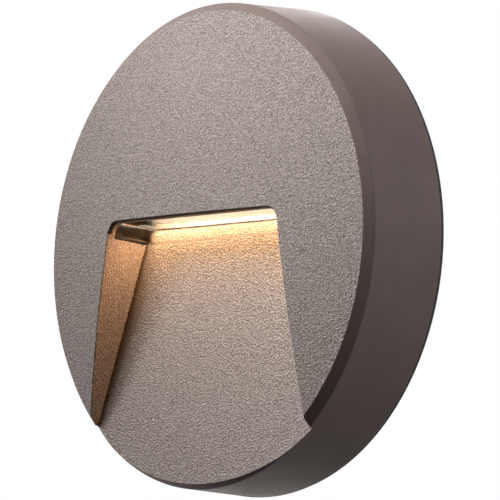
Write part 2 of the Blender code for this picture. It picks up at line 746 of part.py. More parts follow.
def driver_case(material):
    """The driver's open tray, with its ears, board pillars and lead holes."""
    depths = (CASE_RIM, case_front())
    body = block("driver_case", (-CASE_HALF, CASE_HALF), depths, (CASE_BOTTOM, CASE_TOP))
    ear_height = case_ear_height()
    reach = CASE_HALF + CASE_EAR
    ears = (ear_height - CASE_EAR_HEIGHT / 2, ear_height + CASE_EAR_HEIGHT / 2)
    shape_by(body, block("ears", (-reach, reach), case_ear_depths(), ears), "UNION")
    inner = CASE_HALF - CASE_WALL
    heights = (CASE_BOTTOM + CASE_WALL, CASE_TOP - CASE_WALL)
    hollow = block("hollow", (-inner, inner), (CASE_RIM - OVERRUN, case_front() - CASE_WALL), heights)
    for side in (-inner + PILLAR, inner - PILLAR):
        for height in (heights[0] + PILLAR, heights[1] - PILLAR):
            pillar_depths = (case_front() - CASE_WALL - PILLAR_HEIGHT, case_front())
            sides = (side - PILLAR / 2, side + PILLAR / 2)
            pillar_heights = (height - PILLAR / 2, height + PILLAR / 2)
            shape_by(hollow, block("pillar", sides, pillar_depths, pillar_heights))
    shape_by(body, hollow)
    for side, height in case_spots():
        shape_by(body, rod("hole", side, height, (CASE_RIM, case_front()), SHAFT_RADIUS + FIT, SCREW_STEPS))
    for height in lead_hole_heights():
        profile = [(0, -reach), (LEAD_HOLE, -reach), (LEAD_HOLE, reach), (0, reach)]
        hole = turned("lead_holes", profile, SCREW_STEPS, place(0, lead_hole_depth(), height), "X")
        shape_by(body, hole)
    return paint(body, material, smooth=False)


def driver_lid(material):
    """The driver's lid, with a lip that drops inside the tray."""
    heights = (CASE_BOTTOM, CASE_TOP)
    body = block("driver_lid", (-CASE_HALF, CASE_HALF), (CASE_REAR, CASE_RIM - FIT), heights)
    inner = CASE_HALF - CASE_WALL - FIT
    low = CASE_BOTTOM + CASE_WALL + FIT
    high = CASE_TOP - CASE_WALL - FIT
    lip = block("lip", (-inner, inner), (CASE_REAR + CASE_LID / 2, CASE_RIM + CASE_LIP), (low, high))
    shape_by(body, lip, "UNION")
    room = inner - CASE_WALL
    depths = (CASE_RIM - FIT, CASE_RIM + CASE_LIP + OVERRUN)
    shape_by(body, block("room", (-room, room), depths, (low + CASE_WALL, high - CASE_WALL)))
    return paint(body, material, smooth=False)


def driver_board_depths():
    """Depths between which the driver's board lies on its pillars."""
    front = case_front() - CASE_WALL - PILLAR_HEIGHT - FIT
    return (front - DRIVER_BOARD, front)


def driver_board(material):
    """The driver's circuit board, with its low components soldered on."""
    inner = CASE_HALF - CASE_WALL - FIT
    heights = (CASE_BOTTOM + CASE_WALL + FIT, CASE_TOP - CASE_WALL - FIT)
    body = block("driver_board", (-inner, inner), driver_board_depths(), heights)
    for shares in LOW_COMPONENT_SHARES:
        shape_by(body, component("low_component", *shares), "UNION")
    return paint(body, material, smooth=False)


def component_space():
    """Origin, spans and height of the room over the driver's board."""
    inner = CASE_HALF - CASE_WALL - FIT
    low = CASE_BOTTOM + CASE_WALL + FIT
    high = CASE_TOP - CASE_WALL - FIT
    base = driver_board_depths()[0] - FIT
    return inner, low, high, base, base - (CASE_RIM + CASE_LIP + FIT)


def component(name, side_share, height_share, width_share, tall_share, rise_share):
    """A box-shaped component, placed by shares of the board and of the room over it."""
    inner, low, high, base, room = component_space()
    side = side_share * inner
    height = low + height_share * (high - low)
    half = width_share * inner
    tall = tall_share * (high - low)
    depths = (base - rise_share * room, base + (DRIVER_BOARD if rise_share < LOW_RISE_SHARE else 0))
    return block(name, (side - half, side + half), depths, (height - tall, height + tall))


def round_component(name, side_share, height_share, radius_share, rise_share):
    """A can-shaped component, placed the same way."""
    inner, low, high, base, room = component_space()
    height = low + height_share * (high - low)
    depths = (base - rise_share * room, base)
    return rod(name, side_share * inner, height, depths, radius_share * (high - low), BOSS_STEPS)


def transformer(material):
    """The switching transformer: a core whose legs close over its winding."""
    side_share, height_share, width_share, tall_share, rise_share = TRANSFORMER_SHARES
    core = component("transformer", *TRANSFORMER_SHARES)
    inner, low, high, base, room = component_space()
    half = width_share * inner
    middle = low + height_share * (high - low)
    reach = WINDING_SHARE * (high - low)
    for sign in (-1, 1):
        sides = sorted((side_share * inner + sign * half * WINDOW_SHARE, side_share * inner + sign * 2 * half))
        shape_by(core, block("window", sides, (base - room, base - FIT), (middle - reach, middle + reach)))
    winding = component("winding", side_share, height_share, width_share, WINDING_SHARE - WINDING_GAP_SHARE, rise_share)
    shape_by(core, winding, "UNION")
    return paint(core, material, smooth=False)


def driver_parts(sleeve, plastic):
    """The fuse, the filter capacitor and the two electrolytic capacitors."""
    bodies = [paint(component(*shares), plastic, smooth=False) for shares in BOX_COMPONENT_SHARES]
    bodies += [paint(round_component(*shares), sleeve) for shares in CAN_COMPONENT_SHARES]
    return bodies


def terminal_block(material):
    """The three-pole terminal block, with its cage tunnels and screw holes."""
    depths = (BLOCK_REAR, block_front())
    body = block("terminal_block", (-BLOCK_HALF, BLOCK_HALF), depths, (BLOCK_BOTTOM, BLOCK_TOP))
    tunnel = CAGE / 2 + FIT
    middle = cage_depth()
    for side in pole_sides():
        heights = (BLOCK_BOTTOM - OVERRUN, BLOCK_TOP + OVERRUN)
        cut = block("tunnel", (side - tunnel, side + tunnel), (middle - tunnel, middle + tunnel), heights)
        shape_by(body, cut)
        depths = (BLOCK_REAR - OVERRUN, middle)
        shape_by(body, rod("hole", side, clamp_height(), depths, CLAMP_RADIUS + FIT, SCREW_STEPS))
    for side, height in block_spots():
        hole = rod("hole", side, height, (BLOCK_REAR - OVERRUN, block_front() + OVERRUN), SMALL_SHAFT_RADIUS + FIT)
        shape_by(body, hole)
    return paint(body, material, smooth=False)


def clamp_height():
    """Height of the poles' clamping screws, on the side of the mains cable."""
    return (BLOCK_TOP + BLOCK_BOTTOM) / 2 - BLOCK_HEIGHT / 4


def terminal_cages(material):
    """The brass cages that the conductors go into."""
    cages = []
    middle = cage_depth()
    half = CAGE / 2
    bore = CAGE_BORE / 2
    for pole, side in zip(POLES, pole_sides()):
        heights = (BLOCK_BOTTOM + CAGE_INSET, BLOCK_TOP - CAGE_INSET)
        cage = block(f"terminal_cage_{pole}", (side - half, side + half), (middle - half, middle + half), heights)
        through = (BLOCK_BOTTOM - OVERRUN, BLOCK_TOP + OVERRUN)
        shape_by(cage, block("bore", (side - bore, side + bore), (middle - bore, middle + bore), through))
        hole = rod("hole", side, clamp_height(), (BLOCK_REAR, middle), CLAMP_RADIUS + FIT, SCREW_STEPS)
        cages.append(paint(shape_by(cage, hole), material, smooth=False))
    return cages


def terminal_screws(material):
    """The clamping screws, one to a pole."""
    screws = []
    tip = cage_depth() - LEAD_RADIUS - FIT
    height = clamp_height()
    for pole, side in zip(POLES, pole_sides()):
        depths = (BLOCK_REAR + FIT, tip)
        body = rod(f"terminal_screw_{pole}", side, height, depths, CLAMP_RADIUS, SCREW_STEPS)
        depths = (BLOCK_REAR - OVERRUN, BLOCK_REAR + FIT + DRIVE_DEPTH)
        half = DRIVE_WIDTH / 2
        cut = block("slot", (side - 2 * half, side + 2 * half), depths, (height - half, height + half))
        screws.append(paint(shape_by(body, cut), material))
    return screws


def terminal_block_screws(material):
    """The two screws that hold the terminal block to its posts."""
    screws = []
    head = (SMALL_HEAD_RADIUS, SMALL_HEAD_HEIGHT)
    reach = block_front() + FIT + POST_REACH - BLOCK_REAR
    for number, (side, height) in enumerate(block_spots(), 1):
        name = f"terminal_block_screw_{number}"
        body = screw(name, side, height, BLOCK_REAR - FIT, reach, head, SMALL_SHAFT_RADIUS)
        screws.append(paint(body, material))
    return screws


def washer_depths():
    """Depths of the toothed washer on the earth boss."""
    return (EARTH_SEAT - FIT - WASHER_THICKNESS, EARTH_SEAT - FIT)


def tag_depths():
    """Depths of the ring tag on the washer."""
    front = washer_depths()[0] - FIT
    return (front - TAG_THICKNESS, front)


def earth_washer(material):
    """The toothed washer under the ring tag."""
    shape = bmesh.new()
    rear, front = washer_depths()
    rings = []
    for depth in (rear, front):
        ring = []
        for tooth in range(2 * WASHER_TEETH):
            radius = TAG_RADIUS if tooth % 2 else TAG_RADIUS - TAG_THICKNESS
            angle = math.pi * tooth / WASHER_TEETH
            spot = (EARTH_SIDE + radius * math.cos(angle), EARTH_HEIGHT + radius * math.sin(angle))
            ring.append(shape.verts.new(place(spot[0], depth, spot[1])))
        rings.append(ring)
    join_outlines(shape, *rings)
    body = new_object("earth_washer", shape)
    hole = rod("hole", EARTH_SIDE, EARTH_HEIGHT, (rear - OVERRUN, front + OVERRUN), SHAFT_RADIUS + FIT)
    return paint(shape_by(body, hole), material, smooth=False)


def barrel_start():
    """Side where the ring tag's barrel begins."""
    return EARTH_SIDE - TAG_RADIUS - BARREL_RADIUS / 2


def barrel_depth():
    """Depth of the barrel's axis."""
    return tag_depths()[1] - BARREL_RADIUS


def earth_tag(material):
    """The ring tag and the barrel that is crimped round the earth lead."""
    rear, front = tag_depths()
    body = rod("earth_tag", EARTH_SIDE, EARTH_HEIGHT, (rear, front), TAG_RADIUS, BOSS_STEPS)
    reach = (barrel_start() - BARREL_RADIUS / 2, EARTH_SIDE)
    heights = (EARTH_HEIGHT - BARREL_RADIUS / 2, EARTH_HEIGHT + BARREL_RADIUS / 2)
    shape_by(body, block("neck", reach, (rear, front), heights), "UNION")
    start = barrel_start()
    profile = [(LEAD_RADIUS + FIT, start - BARREL_LENGTH), (BARREL_RADIUS, start - BARREL_LENGTH)]
    profile += [(BARREL_RADIUS, start), (LEAD_RADIUS + FIT, start)]
    barrel = turned("barrel", profile, BARREL_STEPS, place(0, barrel_depth(), EARTH_HEIGHT), "X")
    shape_by(body, barrel, "UNION")
    depths = (rear - OVERRUN, front + OVERRUN)
    shape_by(body, rod("hole", EARTH_SIDE, EARTH_HEIGHT, depths, SHAFT_RADIUS + FIT, BOSS_STEPS))
    bore = [(0, start - BARREL_LENGTH - OVERRUN), (LEAD_RADIUS + FIT, start - BARREL_LENGTH - OVERRUN)]
    bore += [(LEAD_RADIUS + FIT, start), (0, start)]
    shape_by(body, turned("bore", bore, BARREL_STEPS, place(0, barrel_depth(), EARTH_HEIGHT), "X"))
    return paint(body, material)


def earth_screw(material):
    """The screw that clamps the ring tag to the housing."""
    head = (SCREW_HEAD_RADIUS, SCREW_HEAD_HEIGHT)
    body = screw("earth_screw", EARTH_SIDE, EARTH_HEIGHT, tag_depths()[0] - FIT, SCREW_REACH, head, SHAFT_RADIUS)
    return paint(body, material)


def lead(name, route, material):
    """An insulated lead as a round tube along a smooth route."""
    points = smooth_route(route)
    curve = bpy.data.curves.new(name, "CURVE")
    curve.dimensions = "3D"
    curve.bevel_depth = LEAD_RADIUS
    curve.bevel_resolution = 2
    curve.use_fill_caps = True
    spline = curve.splines.new("POLY")
    spline.points.add(len(points) - 1)
    for index, point in enumerate(points):
        spline.points[index].co = (*point, 1)
    curve.materials.append(material)
    body = bpy.data.objects.new(name, curve)
    bpy.context.scene.collection.objects.link(body)
    return body


def smooth_route(route):
    """Points on a smooth curve through the route's own points, about one step apart."""
    points = []
    ends = [2 * route[0] - route[1], *route, 2 * route[-1] - route[-2]]
    for index in range(len(route) - 1):
        before, start, end, after = ends[index:index + 4]
        count = max(1, round((end - start).length / LEAD_STEP))
        for step in range(count):
            t = step / count
            bend = (2 * before - 5 * start + 4 * end - after) * t * t
            twist = (3 * start - before - 3 * end + after) * t ** 3
            points.append((2 * start + (end - before) * t + bend + twist) / 2)
    points.append(route[-1])
    return points


def solder_end(side, height, sign):
    """A lead's last points: through the driver case's wall and down to its board."""
    hole = lead_hole_depth()
    solder = driver_board_depths()[0] - SOLDER_GAP
    inner = CASE_HALF - CASE_WALL
    route = [place(sign * (CASE_HALF + 2 * LEAD_RADIUS), hole, height)]
    route.append(place(sign * (inner - LEAD_RADIUS), hole, height))
    route.append(place(side, (hole + solder) / 2, height))
    route.append(place(side, solder, height))
    return route


def pole_start(side):
    """A lead's first points: in its terminal cage and straight out of it."""
    route = [place(side, cage_depth(), BLOCK_TOP - CAGE_INSET - 2 * LEAD_RADIUS)]
    route.append(place(side, cage_depth(), BLOCK_TOP + 2 * LEAD_RADIUS))
    return route


def mains_leads(line_material, neutral_material):
    """The line and neutral leads, from the terminal block round the recess to the driver."""
    clear = LEAD_RADIUS + LEAD_GAP
    low = COVER_FRONT + clear + LEAD_GAP
    ear_top = SPREADER_BOTTOM + EAR_RISE
    rows = (("mains_lead_neutral", 1, 0, neutral_material), ("mains_lead_line", 0, 1, line_material))
    bodies = []
    for name, pole, lane, material in rows:
        outer = -EAR_HALF - (1 + 2 * lane) * clear
        height = lead_hole_heights()[lane]
        route = pole_start(pole_sides()[pole])
        for side_share, height_share in MAINS_ROUTE_SHARES[lane]:
            route.append(place(side_share * CAVITY_RADIUS, low, height_share * CAVITY_RADIUS))
        route.append(place(outer, low + LEAD_RADIUS, RECESS_TOP))
        route.append(place(outer, lead_hole_depth(), ear_top - 2 * clear))
        route.append(place(outer + 2 * LEAD_RADIUS, lead_hole_depth(), (ear_top + height) / 2 + 2 * clear))
        end_side = -(CASE_HALF - CASE_WALL - 5 * LEAD_RADIUS)
        route += solder_end(end_side, height, -1)
        bodies.append(lead(name, route, material))
    return bodies


def earth_lead(material):
    """The earth lead, from the terminal block to the ring tag."""
    side = pole_sides()[2]
    depth = (cage_depth() + barrel_depth()) / 2
    end = barrel_start() - BARREL_LENGTH
    route = pole_start(side)
    route.append(place(side + 4 * LEAD_RADIUS, depth, BLOCK_TOP + 6 * LEAD_RADIUS))
    route.append(place((side + end) / 2, barrel_depth(), (BLOCK_TOP + 2 * EARTH_HEIGHT) / 3 + LEAD_RADIUS))
    route.append(place(end - 4 * LEAD_RADIUS, barrel_depth(), EARTH_HEIGHT))
    route.append(place(end, barrel_depth(), EARTH_HEIGHT))
    route.append(place(barrel_start() - BARREL_LENGTH / 3, barrel_depth(), EARTH_HEIGHT))
    return lead("earth_lead", route, material)


def led_leads(plus_material, minus_material):
    """The two leads from the driver down to the LED board."""
    (left, right), (notch_rear, _) = lead_notch()
    spread = 2 * LEAD_RADIUS - FIT
    middle = (left + right) / 2
    outside = CASE_HALF + 4 * LEAD_RADIUS
    front = notch_rear + 2 * LEAD_RADIUS
    gutter = CASE_BOTTOM - LEAD_RADIUS - LEAD_GAP
    holes = lead_hole_heights()
    hole_depth = lead_hole_depth()
    end_side = CASE_HALF - CASE_WALL - 5 * LEAD_RADIUS

    plus = [place(middle - spread, front, BOARD_TOP + SOLDER_GAP)]
    plus.append(place(middle - spread, front, SPREADER_TOP))
    plus.append(place(middle, front - 2 * LEAD_RADIUS, gutter))
    plus.append(place(CASE_HALF + LEAD_RADIUS, (front + hole_depth) / 2 - LEAD_RADIUS, gutter))
    plus.append(place(outside, hole_depth + LEAD_RADIUS, holes[0] - 3 * LEAD_RADIUS))
    plus += solder_end(end_side, holes[0], 1)

    minus = [place(middle + spread, front, BOARD_TOP + SOLDER_GAP)]
    minus.append(place(middle + spread, front, SPREADER_TOP))
    minus.append(place(CASE_HALF + LEAD_RADIUS, front, gutter))
    minus.append(place(outside + LEAD_RADIUS / 2, front - 2 * LEAD_RADIUS, CASE_BOTTOM + LEAD_RADIUS))
    minus.append(place(outside + LEAD_RADIUS / 2, (front + hole_depth) / 2, holes[0]))
    minus += solder_end(end_side, holes[1], 1)
    return [lead("led_lead_plus", plus, plus_material), lead("led_lead_minus", minus, minus_material)]


def rear_cover(material):
    """The plate that closes the housing, with its screw holes and the grommet's hole."""
    radius = SKIRT_RADIUS - FIT
    body = rod("rear_cover", 0, 0, (COVER_REAR, COVER_FRONT), radius, RING_STEPS)
    depths = (COVER_REAR - OVERRUN, COVER_FRONT + OVERRUN)
    for side, height in cover_spots():
        shape_by(body, rod("hole", side, height, depths, SHAFT_RADIUS + FIT, SCREW_STEPS))
    neck = GROMMET_NECK + FIT
    shape_by(body, rod("hole", 0, -GROMMET_OFFSET, depths, neck, GROMMET_STEPS))
    return paint(body, material)


def ring(name, radii, depths, material):
    """A flat ring about the light's axis."""
    profile = [(radii[0], depths[0]), (radii[1], depths[0]), (radii[1], depths[1]), (radii[0], depths[1])]
    return paint(turned(name, profile, RING_STEPS), material)


def cover_gasket(material):
    """The seal between the rear cover and the housing's ledge."""
    radii = (CAVITY_RADIUS + FIT, SKIRT_RADIUS - FIT)
    return ring("cover_gasket", radii, (BOSS_TOP, BOSS_TOP + COVER_GASKET), material)


def wall_gasket(material):
    """The foam ring between the housing's rim and the wall."""
    radii = (SKIRT_RADIUS + WALL_GASKET_INSET, REAR_RADIUS - WALL_GASKET_INSET)
    return ring("wall_gasket", radii, (0, WALL_GASKET), material)


def cable_grommet(material):
    """The rubber grommet, gripping the rear cover's hole between its two lips."""
    rear = COVER_REAR - FIT
    front = COVER_FRONT + FIT
    profile = [(GROMMET_BORE, rear - GROMMET_LIP), (GROMMET_FLANGE, rear - GROMMET_LIP)]
    profile += [(GROMMET_FLANGE, rear), (GROMMET_NECK, rear), (GROMMET_NECK, front)]
    profile += [(GROMMET_FLANGE, front), (GROMMET_FLANGE, front + GROMMET_LIP), (GROMMET_BORE, front + GROMMET_LIP)]
    return paint(turned("cable_grommet", profile, GROMMET_STEPS, place(0, 0, -GROMMET_OFFSET)), material)


def slot_outline(side, height, length, width):
    """An upright slot with round ends, as (side, height) points."""
    radius = width / 2
    reach = length / 2 - radius
    points = []
    for step in range(2 * SLOT_STEPS):
        angle = math.pi * (step + SLOT_HALF_SHARE) / SLOT_STEPS
        lift = reach if math.sin(angle) > 0 else -reach
        points.append((side + radius * math.cos(angle), height + lift + radius * math.sin(angle)))
    return points


def wall_bracket(material):
    """The steel plate on the wall: screw slots, cable hole and two bent lugs."""
    body = rod("wall_bracket", 0, 0, (0, PLATE), BRACKET_RADIUS, RING_STEPS)
    arms = block("arms", (-ARM_HALF, ARM_HALF), (0, PLATE), (-ARM_REACH, ARM_REACH))
    shape_by(body, arms, "UNION")
    for sign in (-1, 1):
        heights = sorted((sign * (ARM_REACH - PLATE), sign * ARM_REACH))
        shape_by(body, block("lug", (-LUG_HALF, LUG_HALF), (PLATE / 2, LUG_HEIGHT), heights), "UNION")
    depths = (-OVERRUN, PLATE + OVERRUN)
    shape_by(body, rod("cable_hole", 0, -GROMMET_OFFSET, depths, CABLE_HOLE, GROMMET_STEPS))
    for sign in (-1, 1):
        upright = slot_outline(sign * SLOT_RING, 0, SLOT_LENGTH, SLOT_WIDTH)
        level = [(z, x) for x, z in slot_outline(sign * SLOT_RING, 0, SLOT_LENGTH, SLOT_WIDTH)]
        for outline in (upright, level):
            shape_by(body, prism("slot", outline, *depths))
    return paint(body, material)


def set_screw(name, sign, material):
    """A headless screw through the rim, just clear of the bracket's lug."""
    tip = ARM_REACH + FIT
    tail = side_radius(SET_SCREW_DEPTH) - SET_SCREW_SINK
    profile = [(0, tip), (SET_SCREW_RADIUS / 2, tip), (SET_SCREW_RADIUS, tip + SET_SCREW_RADIUS / 2)]
    profile += [(SET_SCREW_RADIUS, tail), (0, tail)]
    profile = [(radius, sign * (distance - tip)) for radius, distance in profile]
    body = turned(name, profile, BOSS_STEPS, Vector(), "Z")
    socket = [(0, tail - SOCKET_DEPTH), (SOCKET_RADIUS, tail - SOCKET_DEPTH)]
    socket += [(SOCKET_RADIUS, tail + OVERRUN), (0, tail + OVERRUN)]
    socket = [(radius, sign * (distance - tip)) for radius, distance in socket]
    shape_by(body, turned("socket", socket, SOCKET_SIDES, Vector(), "Z"))
    body.location = place(0, SET_SCREW_DEPTH, sign * tip)
    return paint(body, material)


def build():
    """Every piece of the light, each in its own material."""
    powder = finish("powder_coat", (0.165, 0.142, 0.132), 0.62)
    steel = finish("zinc_steel", (0.55, 0.56, 0.57), 0.4, 1.0)
    aluminium = finish("plain_aluminium", (0.77, 0.77, 0.78), 0.35, 1.0)
    clear = finish("clear_lens", (1.0, 0.93, 0.82), 0.06, 0.0, 0.6)
    rubber = finish("black_rubber", (0.02, 0.02, 0.021), 0.75)
    foam = finish("grey_foam", (0.06, 0.06, 0.062), 0.9)
    white = finish("white_plastic", (0.86, 0.86, 0.84), 0.45)
    white_board = finish("white_board", (0.9, 0.9, 0.88), 0.35)
    green_board = finish("green_board", (0.03, 0.16, 0.07), 0.4)
    black = finish("black_plastic", (0.025, 0.025, 0.027), 0.5)
    ferrite = finish("ferrite", (0.05, 0.048, 0.05), 0.6)
    led = finish("led_phosphor", (1.0, 0.74, 0.36), 0.4, 0.0, 4.0)
    pad = finish("thermal_pad", (0.35, 0.45, 0.6), 0.8)
    brass = finish("terminal_brass", (0.72, 0.5, 0.2), 0.35, 1.0)
    sleeve = finish("capacitor_sleeve", (0.03, 0.05, 0.12), 0.4)
    amber = finish("component_plastic", (0.55, 0.36, 0.08), 0.45)
    brown = finish("brown_lead", (0.16, 0.07, 0.03), 0.5)
    blue = finish("blue_lead", (0.03, 0.1, 0.45), 0.5)
    green = finish("green_yellow_lead", (0.2, 0.5, 0.06), 0.5)
    red = finish("red_lead", (0.5, 0.02, 0.02), 0.5)
    dark = finish("black_lead", (0.02, 0.02, 0.02), 0.5)

    wall_bracket(steel)
    unit = [front_housing(powder), lens(clear), reflector_frame(white), led_board(white_board)]
    unit += lens_gaskets(rubber)
    unit += leds(led)
    unit += led_board_screws(steel)
    unit += [thermal_pad(pad), heat_spreader(aluminium)]
    unit += screw_set("heat_spreader_screw", spreader_spots(), LENS_BACK - PLATE, steel)
    unit += [driver_case(black), driver_lid(black), driver_board(green_board), transformer(ferrite)]
    unit += driver_parts(sleeve, amber)
    unit += screw_set("driver_case_screw", case_spots(), case_ear_depths()[0], steel)
    unit.append(terminal_block(white))
    unit += terminal_cages(brass)
    unit += terminal_screws(steel)
    unit += terminal_block_screws(steel)
    unit += [earth_washer(steel), earth_tag(steel), earth_screw(steel), earth_lead(green)]
    unit += mains_leads(brown, blue)
    unit += led_leads(red, dark)
    unit += [rear_cover(aluminium), cover_gasket(rubber), cable_grommet(rubber), wall_gasket(foam)]
    unit += screw_set("cover_screw", cover_spots(), COVER_REAR, steel)
    unit += [set_screw("set_screw_top", 1, steel), set_screw("set_screw_bottom", -1, steel)]

    carrier = bpy.data.objects.new("light_unit", None)
    bpy.context.scene.collection.objects.link(carrier)
    for body in unit:
        body.parent = carrier


def clear_scene():
    """Start from an empty scene."""
    for body in list(bpy.data.objects):
        bpy.data.objects.remove(body)


clear_scene()
build()
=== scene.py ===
"""The finished look of the wall mounted pathway light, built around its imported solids.

The wall is the plane y = 0 and the light stands out from it along -Y, with +Z up.
Depths are counted from the wall towards the viewer, and heights from the disc's centre.
"""

import math

import bmesh
import bpy
from mathutils import Matrix, Vector


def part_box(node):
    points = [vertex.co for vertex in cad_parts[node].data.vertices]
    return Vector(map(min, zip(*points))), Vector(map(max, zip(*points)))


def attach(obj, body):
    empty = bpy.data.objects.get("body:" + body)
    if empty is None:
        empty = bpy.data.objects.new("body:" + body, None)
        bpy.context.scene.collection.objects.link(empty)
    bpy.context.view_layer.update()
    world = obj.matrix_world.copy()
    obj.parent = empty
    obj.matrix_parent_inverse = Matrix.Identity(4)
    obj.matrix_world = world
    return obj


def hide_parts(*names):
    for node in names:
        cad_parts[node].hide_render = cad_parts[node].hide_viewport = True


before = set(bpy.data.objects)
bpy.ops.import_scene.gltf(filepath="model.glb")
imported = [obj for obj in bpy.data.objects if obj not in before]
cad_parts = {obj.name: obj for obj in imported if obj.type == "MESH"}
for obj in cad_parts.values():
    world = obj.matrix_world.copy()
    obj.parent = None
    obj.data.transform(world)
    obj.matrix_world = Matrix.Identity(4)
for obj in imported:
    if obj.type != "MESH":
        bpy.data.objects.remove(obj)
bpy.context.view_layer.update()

MM = 0.001
FIT = 0.3 * MM
OVERRUN = 4.0 * MM
SAME_SPOT = 0.0003 * MM
EDGE_STEPS = 4
EDGE_SEGMENTS = 2
SHARP_FROM = 40
SMOOTH_TO = 35

# Housing
REAR_RADIUS = 75.0 * MM
SIDE_DRAFT = 2.1 * MM
BEVEL_WIDTH = 2.5 * MM
FACE_DEPTH = 28.3 * MM
BEVEL_DEPTH = 2.3 * MM
CROWN = 5.0 * MM
SHELL_WALL = 2.6 * MM
SKIRT_WALL = 3.4 * MM
LEDGE_WIDTH = 2.4 * MM
INNER_FILLET = 3.0 * MM
RIM_EDGE = 0.5 * MM
SIDE_EDGE = 1.1 * MM
FACE_EDGE = 0.5 * MM
HOUSING_STEPS = 256
FACE_RINGS = 24
HIDDEN_STEPS = 96
HIDDEN_RINGS = 5

# Recess
RECESS_TOP = 8.4 * MM
RECESS_TOP_LAND = 35.05 * MM
RECESS_END_LAND = 20.9 * MM
RECESS_CORNER = 4.2 * MM
RECESS_END_DEPTH = 0.55 * MM
FLOOR_ROOM = 2.95 * MM
POCKET_WALL = 2.8 * MM
CEILING_DROP = 0.95 * MM
RECESS_EDGE = 0.55 * MM
FLOOR_EDGE = 0.5 * MM
CORNER_STEPS = 16
OUTLINE_STEP = 1.6 * MM
LIP_LEAN = math.radians(80)

# Powder coat: its pebbles, its satin on the rim, a painted shade on the bevel, and what differs inside the
# recess: relief, painted light and painted shade
PEBBLE_SIZE = 0.72 * MM
PEBBLE_SMOOTHNESS = 0.6
PEBBLE_TOP_AT = 0.1
PEBBLE_EDGE_AT = 0.6
GRAIN_SIZE = 0.42 * MM
GRAIN_SHARE = 0.6
PEBBLE_TONES = ((0.164, 0.137, 0.126), (0.478, 0.419, 0.393))
PEBBLE_ROUGHNESS = (0.5, 0.66)
PEBBLE_RELIEF = 0.38 * MM
RECESS_RELIEF = 0.74 * MM
WALL_RELIEF = 0.31 * MM
SATIN_CLOUD = 9.0 * MM
SATIN_TONES = ((0.205, 0.156, 0.143), (0.225, 0.172, 0.158))
SATIN_ROUGHNESS = (0.42, 0.5)
SATIN_RELIEF = 0.004 * MM
COAT_SPECULAR = 0.08
# How dark the bevel's satin is against the side's, a painted shade.
BEVEL_PAINTED_SHADE = 0.72
BEVEL_OUTWARD = 0.35
SIDE_OUTWARD = 0.9
# Painted light: how much lighter the coat is inside the recess.
RECESS_PAINTED_LIGHT = 1.35
# Painted light: the recess's walls take a warm cast.
WALL_PAINTED_LIGHT = (0.96, 0.872, 0.834)
WALL_UPRIGHT = 0.6
# A painted shade on the recess's floor beside the foot of each wall, and how far it reaches.
CREASE_SHADE_REACH = 4.4 * MM
CREASE_SHADE_LEAST = 0.2 * MM
CREASE_PAINTED_SHADE = (0.3, 0.17, 0.08)
CREASE_SHADE_BOW_TOP = 4 / 27
# A near-black painted shade on the recess's edge in front of the lens, full near the face.
LIP_PAINTED_SHADE = (0.03, 0.02, 0.016)
LIP_TURN = 0.25
LIP_SHADE_FULL = 1.0 * MM
LIP_SHADE_NONE = 2.0 * MM

# Lens and light engine
LENS_LEG = 3.55 * MM
LENS_FLANGE = 2.6 * MM
LENS_THICKNESS = 4.1 * MM
LENS_GASKET = 0.6 * MM
LENS_SEAT_RISE = 0.6 * MM
LENS_EDGE = 0.25 * MM
LENS_SMOOTH_TO = 30
FRAME_THICKNESS = 2.2 * MM
LED_COUNT = 6
LED_SIZE = 3.0 * MM
LED_HEIGHT = 0.7 * MM
LED_SPAN_SHARE = 0.78
LED_BASE_SHARE = 0.45
LED_DOME_SHARE = 0.42
LED_STEPS = 24

# Acrylic: its flow marks, the painted shade on its left leg and its glow over the LEDs
ACRYLIC_IOR = 1.49
ACRYLIC_SPECULAR = 0.12
ACRYLIC_TINT = (1.0, 0.965, 0.9)
FLOW_SIZE = 6.0 * MM
FLOW_STRETCH = (0.3, 1, 1)
FLOW_ROUGHNESS = (0.02, 0.07)
FLOW_RELIEF = 0.05 * MM
FLOW_STRENGTH = 0.4
LENS_LIT_SKEW = 1.07
LENS_LIT_FROM = 56.0 * MM
LENS_LIT_TO = 44.5 * MM
LENS_DARK_BELOW = 7.0 * MM
LENS_CLEAR_ABOVE = 8.0 * MM
# The brown painted shade on the lens's left leg.
LEG_PAINTED_SHADE = (0.26, 0.075, 0.022)
LENS_GLOW = 0.15
LENS_GLOW_LEAST = 0.6
LENS_GLOW_COLOUR = (1.0, 0.9, 0.72)
STREAK_SIZE = 2.5 * MM
STREAK_STRETCH = (0.12, 1, 1)

# Bosses, screws and bracket
BOSS_RADIUS = 3.6 * MM
POST_RADIUS = 2.4 * MM
POST_SHAFT_RADIUS = 0.9 * MM
POST_REACH = 1.6 * MM
CASE_WALL = 1.6 * MM
EARTH_STACK = 1.7 * MM
SHAFT_RADIUS = 1.35 * MM
HEAD_RADIUS = 2.7 * MM
HEAD_HEIGHT = 1.5 * MM
HEAD_TOP_SHARE = 0.7
HEAD_SIDE_SHARE = 0.45
SCREW_REACH = 6.0 * MM
DRIVE_SPAN = 2.8 * MM
DRIVE_WIDTH = 0.6 * MM
DRIVE_DEPTH = 0.8 * MM
SCREW_STEPS = 32
COVER_SCREWS = 6
COVER_THICKNESS = 2.0 * MM
COVER_GASKET = 0.8 * MM
COVER_STEPS = 144
LUG_HEIGHT = 7.3 * MM
LUG_GAP = 3.6 * MM
LUG_HALF = 9.0 * MM
ARM_HALF = 14.0 * MM
PLATE = 2.0 * MM
PLATE_EDGE = 0.25 * MM
BRACKET_RADIUS = 52.0 * MM
CABLE_HOLE = 8.0 * MM
SLOT_WIDTH = 5.0 * MM
SLOT_LENGTH = 16.0 * MM
SLOT_RING = 37.0 * MM
SLOT_STEPS = 16
SET_SCREW_RADIUS = 2.0 * MM
SET_SCREW_SINK = 0.6 * MM
SOCKET_RADIUS = 1.15 * MM
SOCKET_DEPTH = 2.0 * MM
SOCKET_SIDES = 6
WALL_GASKET = 1.0 * MM
